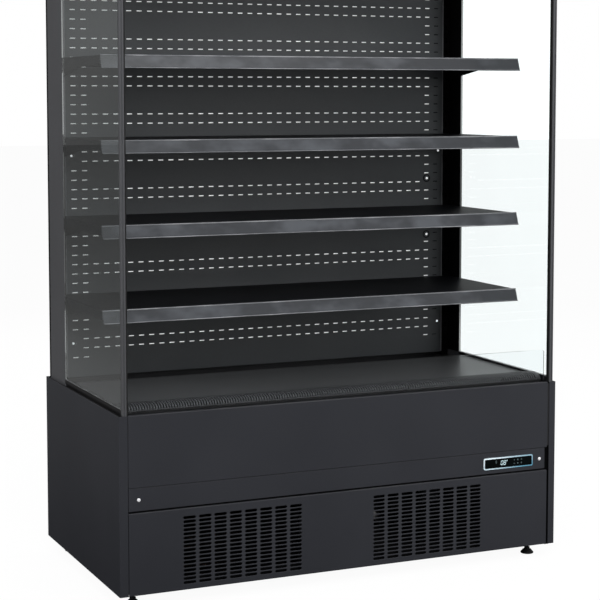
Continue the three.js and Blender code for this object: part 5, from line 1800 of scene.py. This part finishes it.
@dataclass
class Studio:
    """The floor, lights, world and camera."""

    sensor: float = 36.0
    focal: float = 1669.5 * 36.0 / 600.0  # found in pixels of a picture 600 wide
    place: Place = (-1.9805, -4.4319, 1.3449)
    yaw: float = 0.4210
    pitch: float = math.radians(4.56)
    shift: float = -0.118
    target: Place = (0.0, 0.0, 0.9)
    floor_half: float = 40.0
    white_share: float = 0.95  # how far the floor is seen as plain white
    plain_light: float = 0.5
    pane_gain: float = 1.165  # makes up for what an end pane takes from the white behind it
    lamps: tuple[Lamp, ...] = (
        Lamp("key", (-1.6, -4.2, 3.8), 2.4, 165.0),
        Lamp("fill", (2.8, -4.2, 2.4), 2.6, 92.0),
        Lamp("side", (-4.4, -0.6, 1.9), 2.2, 82.0),
        Lamp("low", (4.0, -2.4, 1.2), 1.6, 50.0),
        Lamp("top", (0.0, -0.5, 4.6), 3.0, 60.0),
        Lamp("rear", (1.5, 4.2, 2.8), 2.6, 60.0),
    )

    def build(self) -> None:
        """Sets up everything round the cabinet."""
        self.camera()
        self.floor()
        for lamp in self.lamps:
            lamp.hang(Vector(self.target))
        self.world()

    def camera(self) -> None:
        """Places the camera at the photograph's angle."""
        data = bpy.data.cameras.new("camera")
        data.lens, data.sensor_width, data.shift_y = self.focal, self.sensor, self.shift
        data.clip_start, data.clip_end = 0.1, 100.0
        camera = show(bpy.data.objects.new("camera", data))
        camera.location = self.place
        camera.rotation_euler = (math.pi / 2 - self.pitch, 0.0, -self.yaw)
        bpy.context.scene.camera = camera

    def ray_kinds(self, nodes: Nodes) -> tuple[Socket, Socket, Socket, Socket]:
        """Sorts the rays that reach the floor or the world.

        Args:
            nodes: Nodes of the material or world.

        Returns:
            Masks of what is seen, straight or through a pane, of what is
            mirrored, of plain light, and of what is mirrored through a pane.
        """
        path = nodes.add("LightPath").outputs
        passing = path["Is Transmission Ray"]
        mirrored_ray = nodes.math("GREATER_THAN", path["Glossy Depth"], 0.5)
        scattered = nodes.math("GREATER_THAN", path["Diffuse Depth"], 0.5)
        direct = nodes.times(passing, nodes.less(1.0, nodes.math("MAXIMUM", mirrored_ray, scattered)))
        seen = nodes.grown(direct, self.pane_gain, path["Is Camera Ray"])
        leaving = nodes.math("MAXIMUM", nodes.times(passing, nodes.less(mirrored_ray, scattered)), 0.0)
        glossy = nodes.math("MAXIMUM", path["Is Glossy Ray"], leaving)
        plain = nodes.less(1.0, nodes.math("MINIMUM", 1.0, nodes.plus(seen, glossy)))
        return seen, glossy, plain, leaving

    def floor(self) -> None:
        """Makes the pale floor, which keeps the cabinet's shadow."""
        part = bmesh.new()
        bmesh.ops.create_grid(part, x_segments=1, y_segments=1, size=self.floor_half)
        mesh = bpy.data.meshes.new("floor")
        part.to_mesh(mesh)
        part.free()
        material = bpy.data.materials.new("pale floor")
        nodes = Nodes.emptied(material)
        place = nodes.place()
        tone = nodes.spread(nodes.noise(place, 1.5, 2.0), 0.3, 0.7, 0.0, 1.0)
        pale = nodes.blend(tone, (0.88, 0.88, 0.88), (0.92, 0.92, 0.92))
        seen, glossy, _, _ = self.ray_kinds(nodes)
        # For rays that do not see the floor straight, it is darker near the cabinet and darker still in mirrors: a
        # painted shadow that dims the light bounced onto the cabinet's lower parts.
        away = nodes.add("VectorMath", {0: place}, operation="LENGTH").outputs["Value"]
        shade = nodes.times(nodes.spread(away, 0.8, 3.6, 0.05, 0.5), nodes.grown(glossy, -0.6, 1.0))
        unseen = nodes.add("CombineColor", {0: shade, 1: shade, 2: shade}).outputs[0]
        matte = nodes.add("BsdfDiffuse", {"Color": nodes.blend(nodes.math("MINIMUM", seen, 1.0), unseen, pale)})
        glow = nodes.add("Emission", {"Color": WHITE, "Strength": seen})
        share = nodes.times(nodes.math("MINIMUM", seen, 1.0), self.white_share)
        mixed = nodes.add("MixShader", {0: share, 1: matte.outputs[0], 2: glow.outputs[0]})
        under = nodes.add("NewGeometry").outputs["Backfacing"]
        through = nodes.add("BsdfTransparent").outputs[0]
        final = nodes.add("MixShader", {0: under, 1: mixed.outputs[0], 2: through})
        nodes.add("OutputMaterial", {"Surface": final.outputs[0]})
        mesh.materials.append(material)
        show(bpy.data.objects.new("floor", mesh))

    def world(self) -> None:
        """Makes the world: white where it is seen, graded in gloss and plain elsewhere."""
        world = bpy.data.worlds.new("studio")
        bpy.context.scene.world = world
        nodes = Nodes.emptied(world)
        way = nodes.add("TexCoord").outputs["Generated"]
        x, y, z = nodes.add("SeparateXYZ", {0: way}).outputs[:3]
        upper = nodes.plus(nodes.spread(z, 0.595, 0.64, 0.0, 2.0), 1.0)
        front = nodes.times(nodes.spread(y, 0.7, -0.5, 0.14, 0.4), upper)
        values = {"Vector": way, "Scale": 3.2, "Distortion": 2.0, "Detail": 1.0}
        bands = nodes.add("TexWave", values, wave_type="BANDS", bands_direction="DIAGONAL").outputs["Fac"]
        left = nodes.times(nodes.spread(x, 0.0, -0.35, 0.0, 0.12), nodes.spread(z, -0.03, 0.1, 0.12, 1.0))
        right = nodes.spread(x, 0.15, 0.45, 0.0, 0.1)
        back = nodes.spread(y, 0.1, 0.6, 0.0, 1.0)
        gloss = nodes.grown(nodes.plus(nodes.times(left, bands), right), back, front)
        seen, glossy, plain, leaving = self.ray_kinds(nodes)
        beyond = nodes.times(back, nodes.spread(x, 0.2, 0.5, 0.0, 0.58))
        strength = nodes.grown(leaving, beyond, nodes.times(glossy, gloss))
        strength = nodes.plus(nodes.grown(plain, self.plain_light, strength), seen)
        shader = nodes.add("Background", {"Color": WHITE, "Strength": strength})
        nodes.add("OutputWorld", {"Surface": shader.outputs[0]})


def main() -> None:
    """Builds the whole scene."""
    logging.basicConfig(level=logging.INFO, format="%(message)s")
    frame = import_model()
    Studio().build()
    Base(frame).build()
    Upper(frame).build()
    Liner(frame).build()
    for number in range(1, 5):
        Shelf(frame, number=number).build()
    Cooling(frame).build()
    Machinery(frame).build()
    bpy.context.scene.view_settings.view_transform = "Standard"
    bpy.context.view_layer.update()


if __name__ == "__main__":
    main()
